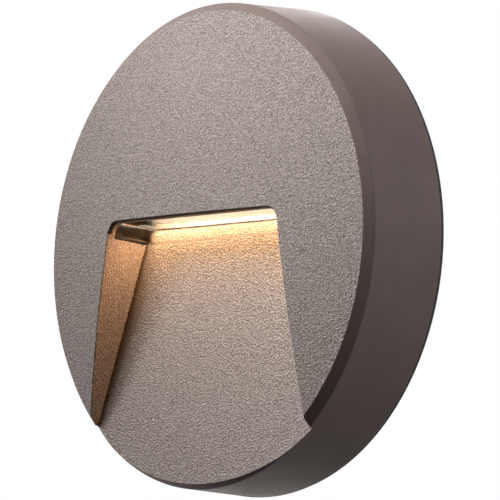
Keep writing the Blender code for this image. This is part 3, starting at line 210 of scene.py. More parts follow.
WALL_GASKET_INSET = 0.6 * MM
GROMMET_OFFSET = 24.0 * MM
GROMMET_BORE = 3.6 * MM
GROMMET_NECK = 6.0 * MM
GROMMET_FLANGE = 8.2 * MM
GROMMET_LIP = 1.3 * MM
GROMMET_EDGE = 0.5 * MM
GROMMET_STEPS = 64
GROMMET_SMOOTH_TO = 50

# Other finishes, by the record's slots: a name, the tones of the grain's hollows and of its
# tops, the grain's size, a pair of roughnesses, the grain's relief and the rest
FIELD_REACH = 0.18
CLOUD_TIMES = 40
CLOUD_SHARE = 0.3
PLAIN_SPECULAR = 0.5
LED_WARM = (1.0, 0.86, 0.66)
FINISHES = {
    # Near-black painted shade for the walls of the lens's slot.
    "slot_coat": (
        "slot_painted_shade", (0.022, 0.012, 0.008), (0.034, 0.02, 0.014), 0.8 * MM, (0.5, 0.65), 0.02 * MM, {},
    ),
    "zinc_steel": (
        "zinc_plate", (0.46, 0.47, 0.49), (0.62, 0.63, 0.65), 1.5 * MM, (0.28, 0.42), 0.01 * MM,
        {"metallic": 1.0, "stretch": (1, 1, 4)},
    ),
    "plain_aluminium": (
        "mill_aluminium", (0.68, 0.68, 0.69), (0.8, 0.8, 0.81), 0.5 * MM, (0.3, 0.42), 0.01 * MM,
        {"metallic": 1.0, "stretch": (0.05, 1, 1)},
    ),
    "black_rubber": (
        "matt_rubber", (0.016, 0.016, 0.017), (0.03, 0.03, 0.031), 0.8 * MM, (0.6, 0.8), 0.02 * MM, {},
    ),
    "grey_foam": (
        "closed_cell_foam", (0.035, 0.035, 0.037), (0.075, 0.075, 0.078), 0.45 * MM, (0.85, 0.98), 0.12 * MM,
        {"detail": 1.0},
    ),
    "white_plastic": (
        "white_moulding", (0.8, 0.79, 0.76), (0.88, 0.87, 0.84), 1.2 * MM, (0.35, 0.5), 0.01 * MM,
        {"glow": 1.05},
    ),
    "white_block": (
        "terminal_plastic", (0.78, 0.78, 0.76), (0.86, 0.86, 0.84), 1.2 * MM, (0.35, 0.5), 0.01 * MM, {},
    ),
    "white_board": (
        "white_solder_mask", (0.82, 0.82, 0.8), (0.9, 0.9, 0.88), 0.6 * MM, (0.25, 0.4), 0.01 * MM, {},
    ),
    "green_board": (
        "green_solder_mask", (0.02, 0.12, 0.05), (0.04, 0.19, 0.085), 0.5 * MM, (0.3, 0.45), 0.02 * MM, {},
    ),
    "black_plastic": (
        "black_moulding", (0.02, 0.02, 0.021), (0.035, 0.035, 0.037), 0.4 * MM, (0.4, 0.6), 0.03 * MM, {},
    ),
    "ferrite": (
        "ferrite_core", (0.04, 0.038, 0.04), (0.07, 0.066, 0.068), 0.3 * MM, (0.5, 0.7), 0.02 * MM, {},
    ),
    "led_phosphor": (
        "lit_phosphor", (1.0, 0.68, 0.28), (1.0, 0.8, 0.42), 0.2 * MM, (0.3, 0.5), 0, {"glow": 8.0},
    ),
    "led_base": (
        "led_ceramic", (0.8, 0.79, 0.76), (0.9, 0.89, 0.86), 0.3 * MM, (0.3, 0.5), 0, {"glow": 1.3},
    ),
    "thermal_pad": (
        "silicone_pad", (0.3, 0.4, 0.55), (0.38, 0.48, 0.62), 0.4 * MM, (0.7, 0.9), 0.02 * MM, {},
    ),
    "terminal_brass": (
        "plain_brass", (0.66, 0.45, 0.17), (0.78, 0.56, 0.25), 0.6 * MM, (0.28, 0.42), 0.01 * MM,
        {"metallic": 1.0, "stretch": (1, 1, 0.2)},
    ),
    "capacitor_sleeve": (
        "shrink_sleeve", (0.02, 0.04, 0.1), (0.035, 0.06, 0.14), 2 * MM, (0.3, 0.45), 0.02 * MM,
        {"stretch": (1, 0.3, 1)},
    ),
    "component_plastic": (
        "epoxy_case", (0.48, 0.31, 0.06), (0.6, 0.4, 0.1), 0.5 * MM, (0.35, 0.5), 0.01 * MM, {},
    ),
    "green_yellow_lead": (
        "earth_insulation", (0.1, 0.36, 0.04), (0.62, 0.56, 0.05), 2.2 * MM, (0.4, 0.55), 0.01 * MM,
        {"detail": 0.0},
    ),
}
LEAD_GRAIN = (0.6 * MM, (0.4, 0.55), 0.01 * MM)
LEAD_TONES = {
    "brown": ((0.13, 0.055, 0.022), (0.19, 0.085, 0.038)),
    "blue": ((0.022, 0.08, 0.38), (0.038, 0.12, 0.5)),
    "red": ((0.42, 0.014, 0.014), (0.56, 0.03, 0.03)),
    "black": ((0.015, 0.015, 0.015), (0.028, 0.028, 0.028)),
}

# The LEDs' warm light under the lens. Each lamp is a name, a side (both sides have one
# unless it is 0), half a width, a drop from the lens, a start and a reach in depth, a turn
# outwards, a beam and a power.
GLOW_COLOUR = (1.0, 0.63, 0.32)
GLOWS = (
    ("recess_edge", 0, 37.5 * MM, 0.15 * MM, 0, 2.0 * MM, 0, 170, 0.0125),
    ("recess_front", 0, 37.5 * MM, 0.15 * MM, 0, 12.8 * MM, 0, 170, 0.016),
    ("recess_side", 26 * MM, 3 * MM, 3 * MM, 5 * MM, 8 * MM, 45, 150, 0.0013),
)

# Studio. Each lamp is a name, a spot, a point it faces, its two sizes, a beam, a power and
# a colour.
WORLD_COLOUR = (0.95, 0.97, 1.0)
WORLD_LEVEL = 0.01
FLOOR_RADIUS = 8.0
FLOOR_STEPS = 96
FLOOR_HEIGHT = -0.3
FLOOR_BOUNCE = (0.035, 0.035, 0.035)
FLOOR_TONE = (0.88, 0.88, 0.87)
FLOOR_GLOW = (1.0, 1.0, 0.99)
FLOOR_LEVEL = 0.66
FLOOR_ROUGHNESS = 0.9
FLOOR_SPECULAR = 0.1
KEY_COLOUR = (1.0, 0.985, 0.975)
LAMPS = (
    ("key_lamp", (-0.117, -0.25, 0.37), (0.052, -0.03, 0.075), (0.16, 0.28), 50, 0.154, KEY_COLOUR),
    ("low_key_lamp", (-0.15, -0.38, 0.30), (0.045, -0.03, 0.095), (0.14, 0.18), 40, 0.14, KEY_COLOUR),
    ("front_lamp", (-0.95, -0.8, 0.57), (0, 0, 0), (0.45, 0.45), 180, 12.9, KEY_COLOUR),
    ("side_lamp", (0.75, 0.12, 0.34), (0, 0, 0), (0.3, 0.3), 180, 2.85, (0.98, 0.99, 1.0)),
    ("rear_lamp", (-0.55, 0.8, 0.5), (0, 0, 0), (0.4, 0.4), 180, 2.5, (1.0, 1.0, 1.0)),
)

# Camera
CAMERA_SPOT = (0.515457, -0.467759, -0.067241)
CAMERA_RIGHT = (0.668382, 0.743243, 0.02925)
CAMERA_UP = (0.0526, -0.086454, 0.994866)
CAMERA_FORWARD = (-0.741956, 0.663412, 0.096879)
FOCAL_MM = 164.154
SENSOR_MM = 36.0
NEAREST = 0.01

# Places worked out from the sizes above
FRONT_RADIUS = REAR_RADIUS - SIDE_DRAFT
FACE_RADIUS = FRONT_RADIUS - BEVEL_WIDTH
BEVEL_START = FACE_DEPTH - BEVEL_DEPTH
FOOT = -FRONT_RADIUS
RECESS_TOP_HALF = FRONT_RADIUS - RECESS_TOP_LAND
RECESS_HEIGHT = RECESS_TOP - FOOT
SPLAY = (FRONT_RADIUS - RECESS_END_LAND - RECESS_TOP_HALF) / RECESS_HEIGHT
LEAN = math.atan(SPLAY)
COVER_REAR = LUG_HEIGHT + FIT
COVER_FRONT = COVER_REAR + COVER_THICKNESS
FLOOR_TOP = COVER_FRONT + FLOOR_ROOM + SHELL_WALL
FLOOR_SLOPE = (FACE_DEPTH - FLOOR_TOP - RECESS_END_DEPTH) / RECESS_HEIGHT
RIM_START = WALL_GASKET + FIT
SKIRT_RADIUS = REAR_RADIUS - SKIRT_WALL
CAVITY_RADIUS = SKIRT_RADIUS - LEDGE_WIDTH
BOSS_TOP = COVER_FRONT + FIT
LEDGE_DEPTH = BOSS_TOP + COVER_GASKET + FIT
BOSS_RING = CAVITY_RADIUS - BOSS_RADIUS - 2 * LEDGE_WIDTH / 3
LENS_SEAT = FACE_DEPTH + LENS_SEAT_RISE
LENS_FRONT = LENS_SEAT - FIT
LENS_BACK = FLOOR_TOP + FIT
LENS_TOP = RECESS_TOP + LENS_THICKNESS
LENS_FOOT = RECESS_TOP - LENS_LEG
LENS_HALF = RECESS_TOP_HALF + SPLAY * LENS_LEG + LENS_FLANGE
LENS_SLOPE = CEILING_DROP / (LENS_SEAT - FLOOR_TOP)
POCKET_TOP = LENS_FOOT - FIT - LENS_GASKET - FIT
FRAME_TOP = LENS_TOP + FIT + FRAME_THICKNESS
BOARD_BOTTOM = FRAME_TOP + FIT
LED_ROW = (LENS_BACK + LENS_FRONT) / 2
ARM_REACH = SKIRT_RADIUS - LUG_GAP
SET_SCREW_DEPTH = LUG_HEIGHT - SET_SCREW_RADIUS - FIT


def place(side, depth, height):
    """A point given by its side, its distance from the wall and its height."""
    return Vector((side, -depth, height))


def recess_half(height):
    """Half the recess's width at a height."""
    return RECESS_TOP_HALF + SPLAY * (RECESS_TOP - height)


def floor_depth(height):
    """Distance of the sloping recess floor from the wall."""
    return FLOOR_TOP + FLOOR_SLOPE * (RECESS_TOP - height)


def floor_back(height):
    """Distance of the rear side of the recess floor from the wall."""
    return floor_depth(height) - SHELL_WALL


def face_depth(radius):
    """Distance of the crowned front face from the wall."""
    return FACE_DEPTH + CROWN * (1 - (radius / FACE_RADIUS) ** 2)


def side_radius(depth):
    """Outer radius of the drafted side at a depth."""
    return REAR_RADIUS - SIDE_DRAFT * depth / BEVEL_START


def in_scene(name, data):
    """An object made from its data and put in the scene."""
    body = bpy.data.objects.new(name, data)
    bpy.context.scene.collection.objects.link(body)
    return body


def new_body(name, shape):
    """An object from a bmesh, with its faces turned outwards."""
    bmesh.ops.recalc_face_normals(shape, faces=shape.faces)
    mesh = bpy.data.meshes.new(name)
    shape.to_mesh(mesh)
    shape.free()
    return in_scene(name, mesh)


def lofted(name, rings):
    """A solid through rings of equally many points, with a flat cap at either end."""
    shape = bmesh.new()
    rings = [[shape.verts.new(spot) for spot in ring] for ring in rings]
    for lower, upper in zip(rings, rings[1:]):
        for index in range(len(lower)):
            after = (index + 1) % len(lower)
            shape.faces.new((lower[index], lower[after], upper[after], upper[index]))
    shape.faces.new(list(reversed(rings[0])))
    shape.faces.new(rings[-1])
    return new_body(name, shape)


def prism(name, outline, back, front):
    """An outline of (side, height) points drawn out between two depths, which may slope."""

    def ring(depth):
        return [place(side, depth(height) if callable(depth) else depth, height) for side, height in outline]

    return lofted(name, [ring(back), ring(front)])


def block(name, sides, depths, heights):
    """A box between two sides, two depths and two heights."""
    left, right = sides
    low, high = heights
    return prism(name, [(left, low), (right, low), (right, high), (left, high)], *depths)


def turned(name, profile, steps, spot=Vector(), axis="Y"):
    """A (radius, distance) profile turned about an axis through a spot.

    The distance runs along -Y for the axis Y and up for Z. A profile that starts on the
    axis makes a solid, and any other a ring.
    """
    shape = bmesh.new()
    rings = []
    for radius, distance in profile:
        count = steps if radius else 1
        ring = []
        for step in range(count):
            angle = 2 * math.pi * step / count
            ring.append(shape.verts.new((radius * math.cos(angle), radius * math.sin(angle), distance)))
        rings.append(ring)
    pairs = list(zip(rings, rings[1:]))
    if profile[0][0]:
        pairs.append((rings[-1], rings[0]))
    for lower, upper in pairs:
        for step in range(steps):
            after = (step + 1) % steps
            corners = [lower[step % len(lower)], lower[after % len(lower)]]
            corners += [upper[after % len(upper)], upper[step % len(upper)]]
            shape.faces.new(list(dict.fromkeys(corners)))
    flat = []
    for pole in [vert for ring in rings if len(ring) == 1 for vert in ring]:
        around = [vert.co.z for edge in pole.link_edges for vert in edge.verts]
        if all(abs(distance - pole.co.z) < SAME_SPOT for distance in around):
            flat.append(pole)
    bmesh.ops.dissolve_verts(shape, verts=flat)
    turn = Matrix.Rotation(math.pi / 2, 4, "X") if axis == "Y" else Matrix()
    bmesh.ops.transform(shape, matrix=Matrix.Translation(spot) @ turn, verts=shape.verts)
    return new_body(name, shape)


def bar(radius, low, high):
    """The profile of a plain round bar."""
    return [(0, low), (radius, low), (radius, high), (0, high)]


def rod(name, side, height, depths, radius, steps=SCREW_STEPS):
    """A round bar across the wall's plane, between two depths."""
    return turned(name, bar(radius, *depths), steps, place(side, 0, height))


def rounded(points, radii):
    """A line of (radius, distance) points with its corners turned into small arcs."""
    line = [points[0]]
    for before, corner, after, radius in zip(points, points[1:], points[2:], radii):
        if not radius:
            line.append(corner)
            continue
        middle = Vector(corner)
        back = (Vector(before) - middle).normalized()
        on = (Vector(after) - middle).normalized()
        half = back.angle(on) / 2
        centre = middle + (back + on).normalized() * radius / math.sin(half)
        start = middle + back * radius / math.tan(half) - centre
        end = middle + on * radius / math.tan(half) - centre
        sweep = math.pi - 2 * half
        for step in range(EDGE_STEPS + 1):
            part = step / EDGE_STEPS
            spot = start * math.sin((1 - part) * sweep) + end * math.sin(part * sweep)
            line.append(tuple(centre + spot / math.sin(sweep)))
    line.append(points[-1])
    return line


def baked(body):
    """The body's mesh with its modifiers worked in and none left on it."""
    graph = bpy.context.evaluated_depsgraph_get()
    mesh = bpy.data.meshes.new_from_object(body.evaluated_get(graph))
    body.modifiers.clear()
    body.data = mesh
    return body


def shape_by(body, tools, operation="DIFFERENCE"):
    """Cut one body with others, or join them, and use the tools up."""
    for tool in tools:
        step = body.modifiers.new(operation.title(), "BOOLEAN")
        step.operation = operation
        step.object = tool
        baked(body)
        bpy.data.objects.remove(tool)
    return body


def gathered(tools):
    """Separate bodies put together as one cutting tool."""
    shape = bmesh.new()
    for tool in tools:
        shape.from_mesh(tool.data)
        bpy.data.objects.remove(tool)
    return new_body("tools", shape)


def soften(body, width):
    """Small rounds along the body's sharp edges."""
    step = body.modifiers.new("Edges", "BEVEL")
    step.width = width
    step.segments = EDGE_SEGMENTS
    step.limit_method = "ANGLE"
    step.angle_limit = math.radians(SHARP_FROM)
    return baked(body)


def dress(body, material, carrier, stands_for, smooth_to=SMOOTH_TO):
    """Give a body its finish and shading, set it on its carrier and let it stand for its solids."""
    body.data.materials.clear()
    for coat in material if isinstance(material, tuple) else (material,):
        body.data.materials.append(coat)
    body.data.shade_smooth()
    body.data.set_sharp_from_angle(angle=math.radians(smooth_to))
    step = body.modifiers.new("Flats", "WEIGHTED_NORMAL")
    step.keep_sharp = True
    baked(body)
    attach(body, carrier)
    if stands_for:
        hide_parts(*stands_for)
    return body


# Finishes


def plug(tree, socket, value):
    """Give a socket another node's output or a value, which for a colour is three numbers."""
    if isinstance(value, bpy.types.NodeSocket):
        tree.links.new(value, socket)
    else:
        socket.default_value = (*value, 1) if socket.type == "RGBA" else value


def feed(tree, node, **inputs):
    """A node given its inputs, each a value or another node's output."""
    for key, value in inputs.items():
        plug(tree, node.inputs[key.replace("_", " ")], value)
    return node


def add(tree, kind, settings=None, **inputs):
    """A new node with its settings and inputs."""
    node = tree.nodes.new(kind)
    for key, value in (settings or {}).items():
        setattr(node, key, value)
    return feed(tree, node, **inputs)


def grain(tree, size, detail=2.0, stretch=(1, 1, 1)):
    """A soft random field whose features are about one size across."""
    spots = add(tree, "ShaderNodeTexCoord").outputs["Object"]
    laid = add(tree, "ShaderNodeMapping", Vector=spots, Scale=stretch).outputs["Vector"]
    return add(tree, "ShaderNodeTexNoise", Vector=laid, Scale=1 / size, Detail=detail).outputs["Fac"]


def spread(tree, field, low, high):
    """A random field's middle values laid out between two numbers."""
    ends = {"From_Min": 0.5 - FIELD_REACH, "From_Max": 0.5 + FIELD_REACH, "To_Min": low, "To_Max": high}
    return add(tree, "ShaderNodeMapRange", Value=field, **ends).outputs["Result"]


def smooth_step(tree, field, start, end):
    """Nought where a field is at its start and one where it is at its end, smoothly between."""
    ends = {"From_Min": start, "From_Max": end}
    step = add(tree, "ShaderNodeMapRange", {"interpolation_type": "SMOOTHSTEP"}, Value=field, **ends)
    return step.outputs["Result"]


def worked(tree, operation, *values):
    """The result of a sum or comparison on plain values and other nodes' outputs."""
    step = add(tree, "ShaderNodeMath", {"operation": operation})
    for socket, value in zip(step.inputs, values):
        plug(tree, socket, value)
    return step.outputs[0]


def product(tree, one, other):
    """Two fields multiplied."""
    return worked(tree, "MULTIPLY", one, other)


def total(tree, one, other):
    """Two fields added."""
    return worked(tree, "ADD", one, other)


def between(tree, share, one, other):
    """A number that goes from one to another by a share."""
    return add(tree, "ShaderNodeMix", Factor=share, A=one, B=other).outputs["Result"]


def blended(tree, share, plain, other):
    """A colour that goes from one to another by a share; each is an output or three numbers."""
    mix = add(tree, "ShaderNodeMix", {"data_type": "RGBA"})
    for number, value in ((0, share), (6, plain), (7, other)):
        plug(tree, mix.inputs[number], value)
    return mix.outputs[2]


def two_tones(tree, field, dark, light):
    """A colour between two tones, by a field that runs from nought to one."""
    ramp = add(tree, "ShaderNodeValToRGB", Fac=field)
    ramp.color_ramp.elements[0].color = (*dark, 1)
    ramp.color_ramp.elements[1].color = (*light, 1)
    return ramp.outputs["Color"]


def scaled(tree, colour, share):
    """A colour made lighter or darker by a field."""
    step = add(tree, "ShaderNodeVectorMath", {"operation": "SCALE"}, Vector=colour, Scale=share)
    return step.outputs["Vector"]


def tinted(tree, colour, tint):
    """A colour seen through another."""
    step = add(tree, "ShaderNodeVectorMath", {"operation": "MULTIPLY"}, Vector=colour)
    tree.links.new(tint, step.inputs[1])
    return step.outputs["Vector"]


def bumped(tree, height, relief, strength=1.0):
    """The surface's direction over a height field, whose relief is in metres."""
    return add(tree, "ShaderNodeBump", Height=height, Strength=strength, Distance=relief).outputs["Normal"]


def attribute(tree, name):
    """One of the housing's face attributes."""
    return add(tree, "ShaderNodeAttribute", {"attribute_name": name}).outputs["Fac"]


def new_material(name):
    """A material, its tree and its shader."""
    material = bpy.data.materials.new(name)
    material.use_nodes = True
    return material, material.node_tree, material.node_tree.nodes["Principled BSDF"]


def finish(
    name, dark, light, size, roughness, relief, metallic=0.0, detail=2.0, stretch=(1, 1, 1), glow=0.0,
):
    """A finish whose colour, gloss and relief follow its grain.

    It is dark in the grain's hollows and light on its tops, and its roughness is a pair.
    """
    material, tree, shader = new_material(name)
    field = grain(tree, size, detail, stretch)
    cloud = grain(tree, size * CLOUD_TIMES)
    both = total(tree, product(tree, field, 1 - CLOUD_SHARE), product(tree, cloud, CLOUD_SHARE))
    colour = two_tones(tree, spread(tree, both, 0.0, 1.0), dark, light)
    gloss = spread(tree, field, *roughness)
    feed(tree, shader, Base_Color=colour, Roughness=gloss, Metallic=metallic)
    feed(tree, shader, Specular_IOR_Level=PLAIN_SPECULAR)
    if relief:
        feed(tree, shader, Normal=bumped(tree, spread(tree, field, 0.0, 1.0), relief))
    if glow:
        feed(tree, shader, Emission_Color=LED_WARM, Emission_Strength=glow)
    return material


def pebble_height(tree, spots, fine):
    """The pebbled coat's height, nought in its hollows and one on its tops."""
    sizes = {"Scale": 1 / PEBBLE_SIZE, "Smoothness": PEBBLE_SMOOTHNESS}
    cells = add(tree, "ShaderNodeTexVoronoi", {"feature": "SMOOTH_F1"}, Vector=spots, **sizes)
    ends = {"From_Min": PEBBLE_TOP_AT, "From_Max": PEBBLE_EDGE_AT, "To_Min": 1.0, "To_Max": 0.0}
    pebbles = add(tree, "ShaderNodeMapRange", Value=cells.outputs["Distance"], **ends)
    return between(tree, GRAIN_SHARE, pebbles.outputs["Result"], spread(tree, fine, 0.0, 1.0))


def crease_shade_share(tree, apart, upright):
    """How much painted shade a spot of the recess's floor gets near the foot of a wall, from nought to one.

    The painted shade reaches out furthest two thirds of the way up and runs out at both ends.
    """
    foot = total(tree, product(tree, apart["Z"], -SPLAY), RECESS_TOP_HALF + SPLAY * RECESS_TOP)
    from_wall = worked(tree, "SUBTRACT", foot, worked(tree, "ABSOLUTE", apart["X"]))
    up = total(tree, product(tree, apart["Z"], 1 / RECESS_HEIGHT), -FOOT / RECESS_HEIGHT)
    bow = product(tree, product(tree, up, up), worked(tree, "SUBTRACT", 1.0, up))
    reach = worked(tree, "MAXIMUM", product(tree, bow, CREASE_SHADE_REACH / CREASE_SHADE_BOW_TOP), CREASE_SHADE_LEAST)
    open_floor = worked(tree, "MAXIMUM", worked(tree, "DIVIDE", from_wall, reach), upright)
    return worked(tree, "SUBTRACT", 1.0, smooth_step(tree, open_floor, 0.0, 1.0))


def lip_shade_share(tree, apart):
    """How much painted shade the recess's edge in front of the lens gets, by its depth under the crowned
    face.
    """
    square = total(tree, product(tree, apart["X"], apart["X"]), product(tree, apart["Z"], apart["Z"]))
    face = total(tree, product(tree, square, -CROWN / FACE_RADIUS ** 2), FACE_DEPTH + CROWN)
    under = smooth_step(tree, total(tree, face, apart["Y"]), LIP_SHADE_NONE, LIP_SHADE_FULL)
    return product(tree, attribute(tree, "lip"), under)


def powder_coat():
    """Pebbled grey-brown powder coat, and a smooth satin one of a darker tone on the turned rim, with painted
    light and shade.
    """
    material, tree, shader = new_material("textured_powder_coat")
    spots = add(tree, "ShaderNodeTexCoord").outputs["Object"]
    apart = add(tree, "ShaderNodeSeparateXYZ", Vector=spots).outputs
    share = attribute(tree, "satin")
    rim = worked(tree, "GREATER_THAN", share, BEVEL_PAINTED_SHADE / 2)
    inside = attribute(tree, "recess")
    upright = attribute(tree, "side_wall")
    fine = grain(tree, GRAIN_SIZE, 1.0)
    satin = grain(tree, SATIN_CLOUD)
    height = pebble_height(tree, spots, fine)

    # Painted light makes the coat inside the recess lighter.
    lighter = total(tree, product(tree, inside, RECESS_PAINTED_LIGHT - 1), 1)
    pebbled = scaled(tree, two_tones(tree, height, *PEBBLE_TONES), lighter)
    # Painted light: a warm cast on the recess's walls.
    tint = blended(tree, upright, (1, 1, 1), WALL_PAINTED_LIGHT)
    # Painted shade on the floor beside the foot of each wall.
    tint = blended(tree, product(tree, crease_shade_share(tree, apart, upright), inside), tint, CREASE_PAINTED_SHADE)
    # The bevel's satin is darker by a painted shade.
    smooth = scaled(tree, two_tones(tree, spread(tree, satin, 0.0, 1.0), *SATIN_TONES), share)
    colour = blended(tree, rim, tinted(tree, pebbled, tint), smooth)
    # Painted shade: the recess's edge in front of the lens turns near-black near the face.
    colour = blended(tree, lip_shade_share(tree, apart), colour, LIP_PAINTED_SHADE)
    gloss = between(tree, rim, spread(tree, fine, *PEBBLE_ROUGHNESS), spread(tree, satin, *SATIN_ROUGHNESS))
    feed(tree, shader, Base_Color=colour, Roughness=gloss, Specular_IOR_Level=COAT_SPECULAR)

    relief = between(tree, inside, PEBBLE_RELIEF, RECESS_RELIEF)
    relief = between(tree, upright, relief, WALL_RELIEF)
    relief = between(tree, rim, relief, SATIN_RELIEF)
    feed(tree, shader, Normal=bumped(tree, height, relief))
    return material


def clear_acrylic():
    """The lens's clear moulded acrylic, with faint flow marks in its gloss.

    It glows in streaks over the LEDs, and its left leg past the last of them is tinted brown as a painted
    shade.
    """
    material, tree, shader = new_material("clear_acrylic")
    marks = grain(tree, FLOW_SIZE, 1.0, FLOW_STRETCH)
    gloss = spread(tree, marks, *FLOW_ROUGHNESS)
    feed(tree, shader, Transmission_Weight=1.0, IOR=ACRYLIC_IOR, Specular_IOR_Level=ACRYLIC_SPECULAR)
    feed(tree, shader, Roughness=gloss, Normal=bumped(tree, marks, FLOW_RELIEF, FLOW_STRENGTH))

    spots = add(tree, "ShaderNodeTexCoord").outputs["Object"]
    apart = add(tree, "ShaderNodeSeparateXYZ", Vector=spots).outputs
    across = total(tree, product(tree, apart["Y"], LENS_LIT_SKEW), apart["X"])
    lit = smooth_step(tree, across, -LENS_LIT_FROM, -LENS_LIT_TO)
    high = smooth_step(tree, apart["Z"], LENS_DARK_BELOW, LENS_CLEAR_ABOVE)
    clear = worked(tree, "MAXIMUM", lit, high)
    # The left leg, past the lit part and below the lens's top, is tinted brown as a painted shade.
    feed(tree, shader, Base_Color=blended(tree, clear, LEG_PAINTED_SHADE, ACRYLIC_TINT))

    streaks = grain(tree, STREAK_SIZE, 2.0, STREAK_STRETCH)
    streaks = spread(tree, streaks, LENS_GLOW_LEAST * LENS_GLOW, LENS_GLOW)
    feed(tree, shader, Emission_Color=LENS_GLOW_COLOUR, Emission_Strength=product(tree, lit, streaks))
    return material


# Geometry node trees


def growing(name, sizes):
    """A tree with named inputs, given as (title, socket kind) pairs."""
    tree = bpy.data.node_groups.new(name, "GeometryNodeTree")
    tree.interface.new_socket("Geometry", in_out="OUTPUT", socket_type="NodeSocketGeometry")
    for title, kind in sizes:
        tree.interface.new_socket(title, in_out="INPUT", socket_type="NodeSocket" + kind)
    return tree, tree.nodes.new("NodeGroupInput").outputs, tree.nodes.new("NodeGroupOutput").inputs


def end_tree(tree, given, geometry, result):
    """Make the copies real, give them their finish and hand them over."""
    real = add(tree, "GeometryNodeRealizeInstances", Geometry=geometry).outputs["Geometry"]
    painted = add(tree, "GeometryNodeSetMaterial", Geometry=real, Material=given["Finish"])
    tree.links.new(painted.outputs["Geometry"], result["Geometry"])
    return tree


def facing(tree, geometry, start):
    """A flat geometry turned to lie along the wall and moved to its start."""
    places = {"Translation": start, "Rotation": (math.pi / 2, 0, 0)}
    return add(tree, "GeometryNodeTransform", Geometry=geometry, **places).outputs["Geometry"]


def copies_tree(name, points_kind):
    """Copies of one piece, on a straight row or on a circle about the light's axis."""
    sizes = [("Copy", "Object"), ("Count", "Int"), ("Start", "Vector"), ("Step", "Vector")]
    tree, given, result = growing(name, [*sizes, ("Radius", "Float"), ("Finish", "Material")])
    count, start = given["Count"], given["Start"]
    if points_kind == "row":
        points = add(tree, "GeometryNodeMeshLine", Count=count, Start_Location=start, Offset=given["Step"])
        spots = points.outputs["Mesh"]
    else:
        points = add(tree, "GeometryNodeMeshCircle", Vertices=count, Radius=given["Radius"])
        spots = facing(tree, points.outputs["Mesh"], start)
    copy = add(tree, "GeometryNodeObjectInfo", Object=given["Copy"])
    placed = add(tree, "GeometryNodeInstanceOnPoints", Points=spots, Instance=copy.outputs["Geometry"])
    return end_tree(tree, given, placed.outputs["Instances"], result)


def ring_tree():
    """A flat ring with rounded edges: a rounded section carried round a circle."""
    sizes = [("Middle radius", "Float"), ("Width", "Float"), ("Thickness", "Float"), ("Edge", "Float")]
    tree, given, result = growing("round_strip", [*sizes, ("Start", "Vector"), ("Finish", "Material")])
    middle = given["Middle radius"]
    path = add(tree, "GeometryNodeCurvePrimitiveCircle", Resolution=HOUSING_STEPS, Radius=middle)
    sides = {"Width": given["Width"], "Height": given["Thickness"]}
    section = add(tree, "GeometryNodeCurvePrimitiveQuadrilateral", **sides)
    rounds = {"Curve": section.outputs["Curve"], "Count": EDGE_SEGMENTS, "Radius": given["Edge"]}
    filleted = add(tree, "GeometryNodeFilletCurve", {"mode": "POLY"}, **rounds)
    curves = {"Curve": path.outputs["Curve"], "Profile_Curve": filleted.outputs["Curve"]}
    swept = add(tree, "GeometryNodeCurveToMesh", **curves)
    return end_tree(tree, given, facing(tree, swept.outputs["Mesh"], given["Start"]), result)


def grown(name, tree, values):
    """A plain mesh grown by a tree from its named inputs."""
    body = in_scene(name, bpy.data.meshes.new(name))
    step = body.modifiers.new("Grow", "NODES")
    step.node_group = tree
    for socket in tree.interface.items_tree:
        if socket.in_out == "INPUT" and socket.name in values:
            step[socket.identifier] = values[socket.name]
    return baked(body)


# Pieces


def arch(top, foot):
    """The recess's rounded top from its left foot over to its right foot, with outward directions."""
    corner = recess_half(top) + SPLAY * RECESS_CORNER - RECESS_CORNER / math.cos(LEAN)
    centre = top - RECESS_CORNER
    turn = []
    for step in range(CORNER_STEPS + 1):
        angle = LEAN + (math.pi / 2 - LEAN) * step / CORNER_STEPS
        across, up = math.cos(angle), math.sin(angle)
        turn.append((corner + RECESS_CORNER * across, centre + RECESS_CORNER * up, across, up))
    start, end = Vector((recess_half(foot), foot)), Vector(turn[0][:2])
    count = max(1, round((end - start).length / OUTLINE_STEP))
    leg = []
    for step in range(count):
        spot = start.lerp(end, step / count)
        leg.append((spot.x, spot.y, math.cos(LEAN), math.sin(LEAN)))
    count = round(RECESS_TOP_HALF / OUTLINE_STEP)
    ceiling = [(corner * (1 - step / count), top, 0, 1) for step in range(1, count)]
    right = leg + turn + ceiling
    left = [(-side, height, -across, up) for side, height, across, up in right]
    return left + [(0, top, 0, 1)] + list(reversed(right))


def housing_form():
    """The housing's outer form: crowned face, narrow bevel and drafted side, all softly edged."""
    line = [(0, RIM_START), (side_radius(RIM_START), RIM_START)]
    line += [(FRONT_RADIUS, BEVEL_START), (FACE_RADIUS, FACE_DEPTH)]
    edges = [RIM_EDGE, SIDE_EDGE, FACE_EDGE]
    for ring in range(1, FACE_RINGS):
        radius = FACE_RADIUS * (1 - ring / FACE_RINGS)
        line.append((radius, face_depth(radius)))
        edges.append(0)
    line.append((0, face_depth(0)))
    return turned("housing", rounded(line, edges), HOUSING_STEPS)


def cover_spots():
    """Where the rear cover's screws stand, as (side, height)."""
    angles = [2 * math.pi * number / COVER_SCREWS for number in range(COVER_SCREWS)]
    return [(BOSS_RING * math.cos(angle), BOSS_RING * math.sin(angle)) for angle in angles]


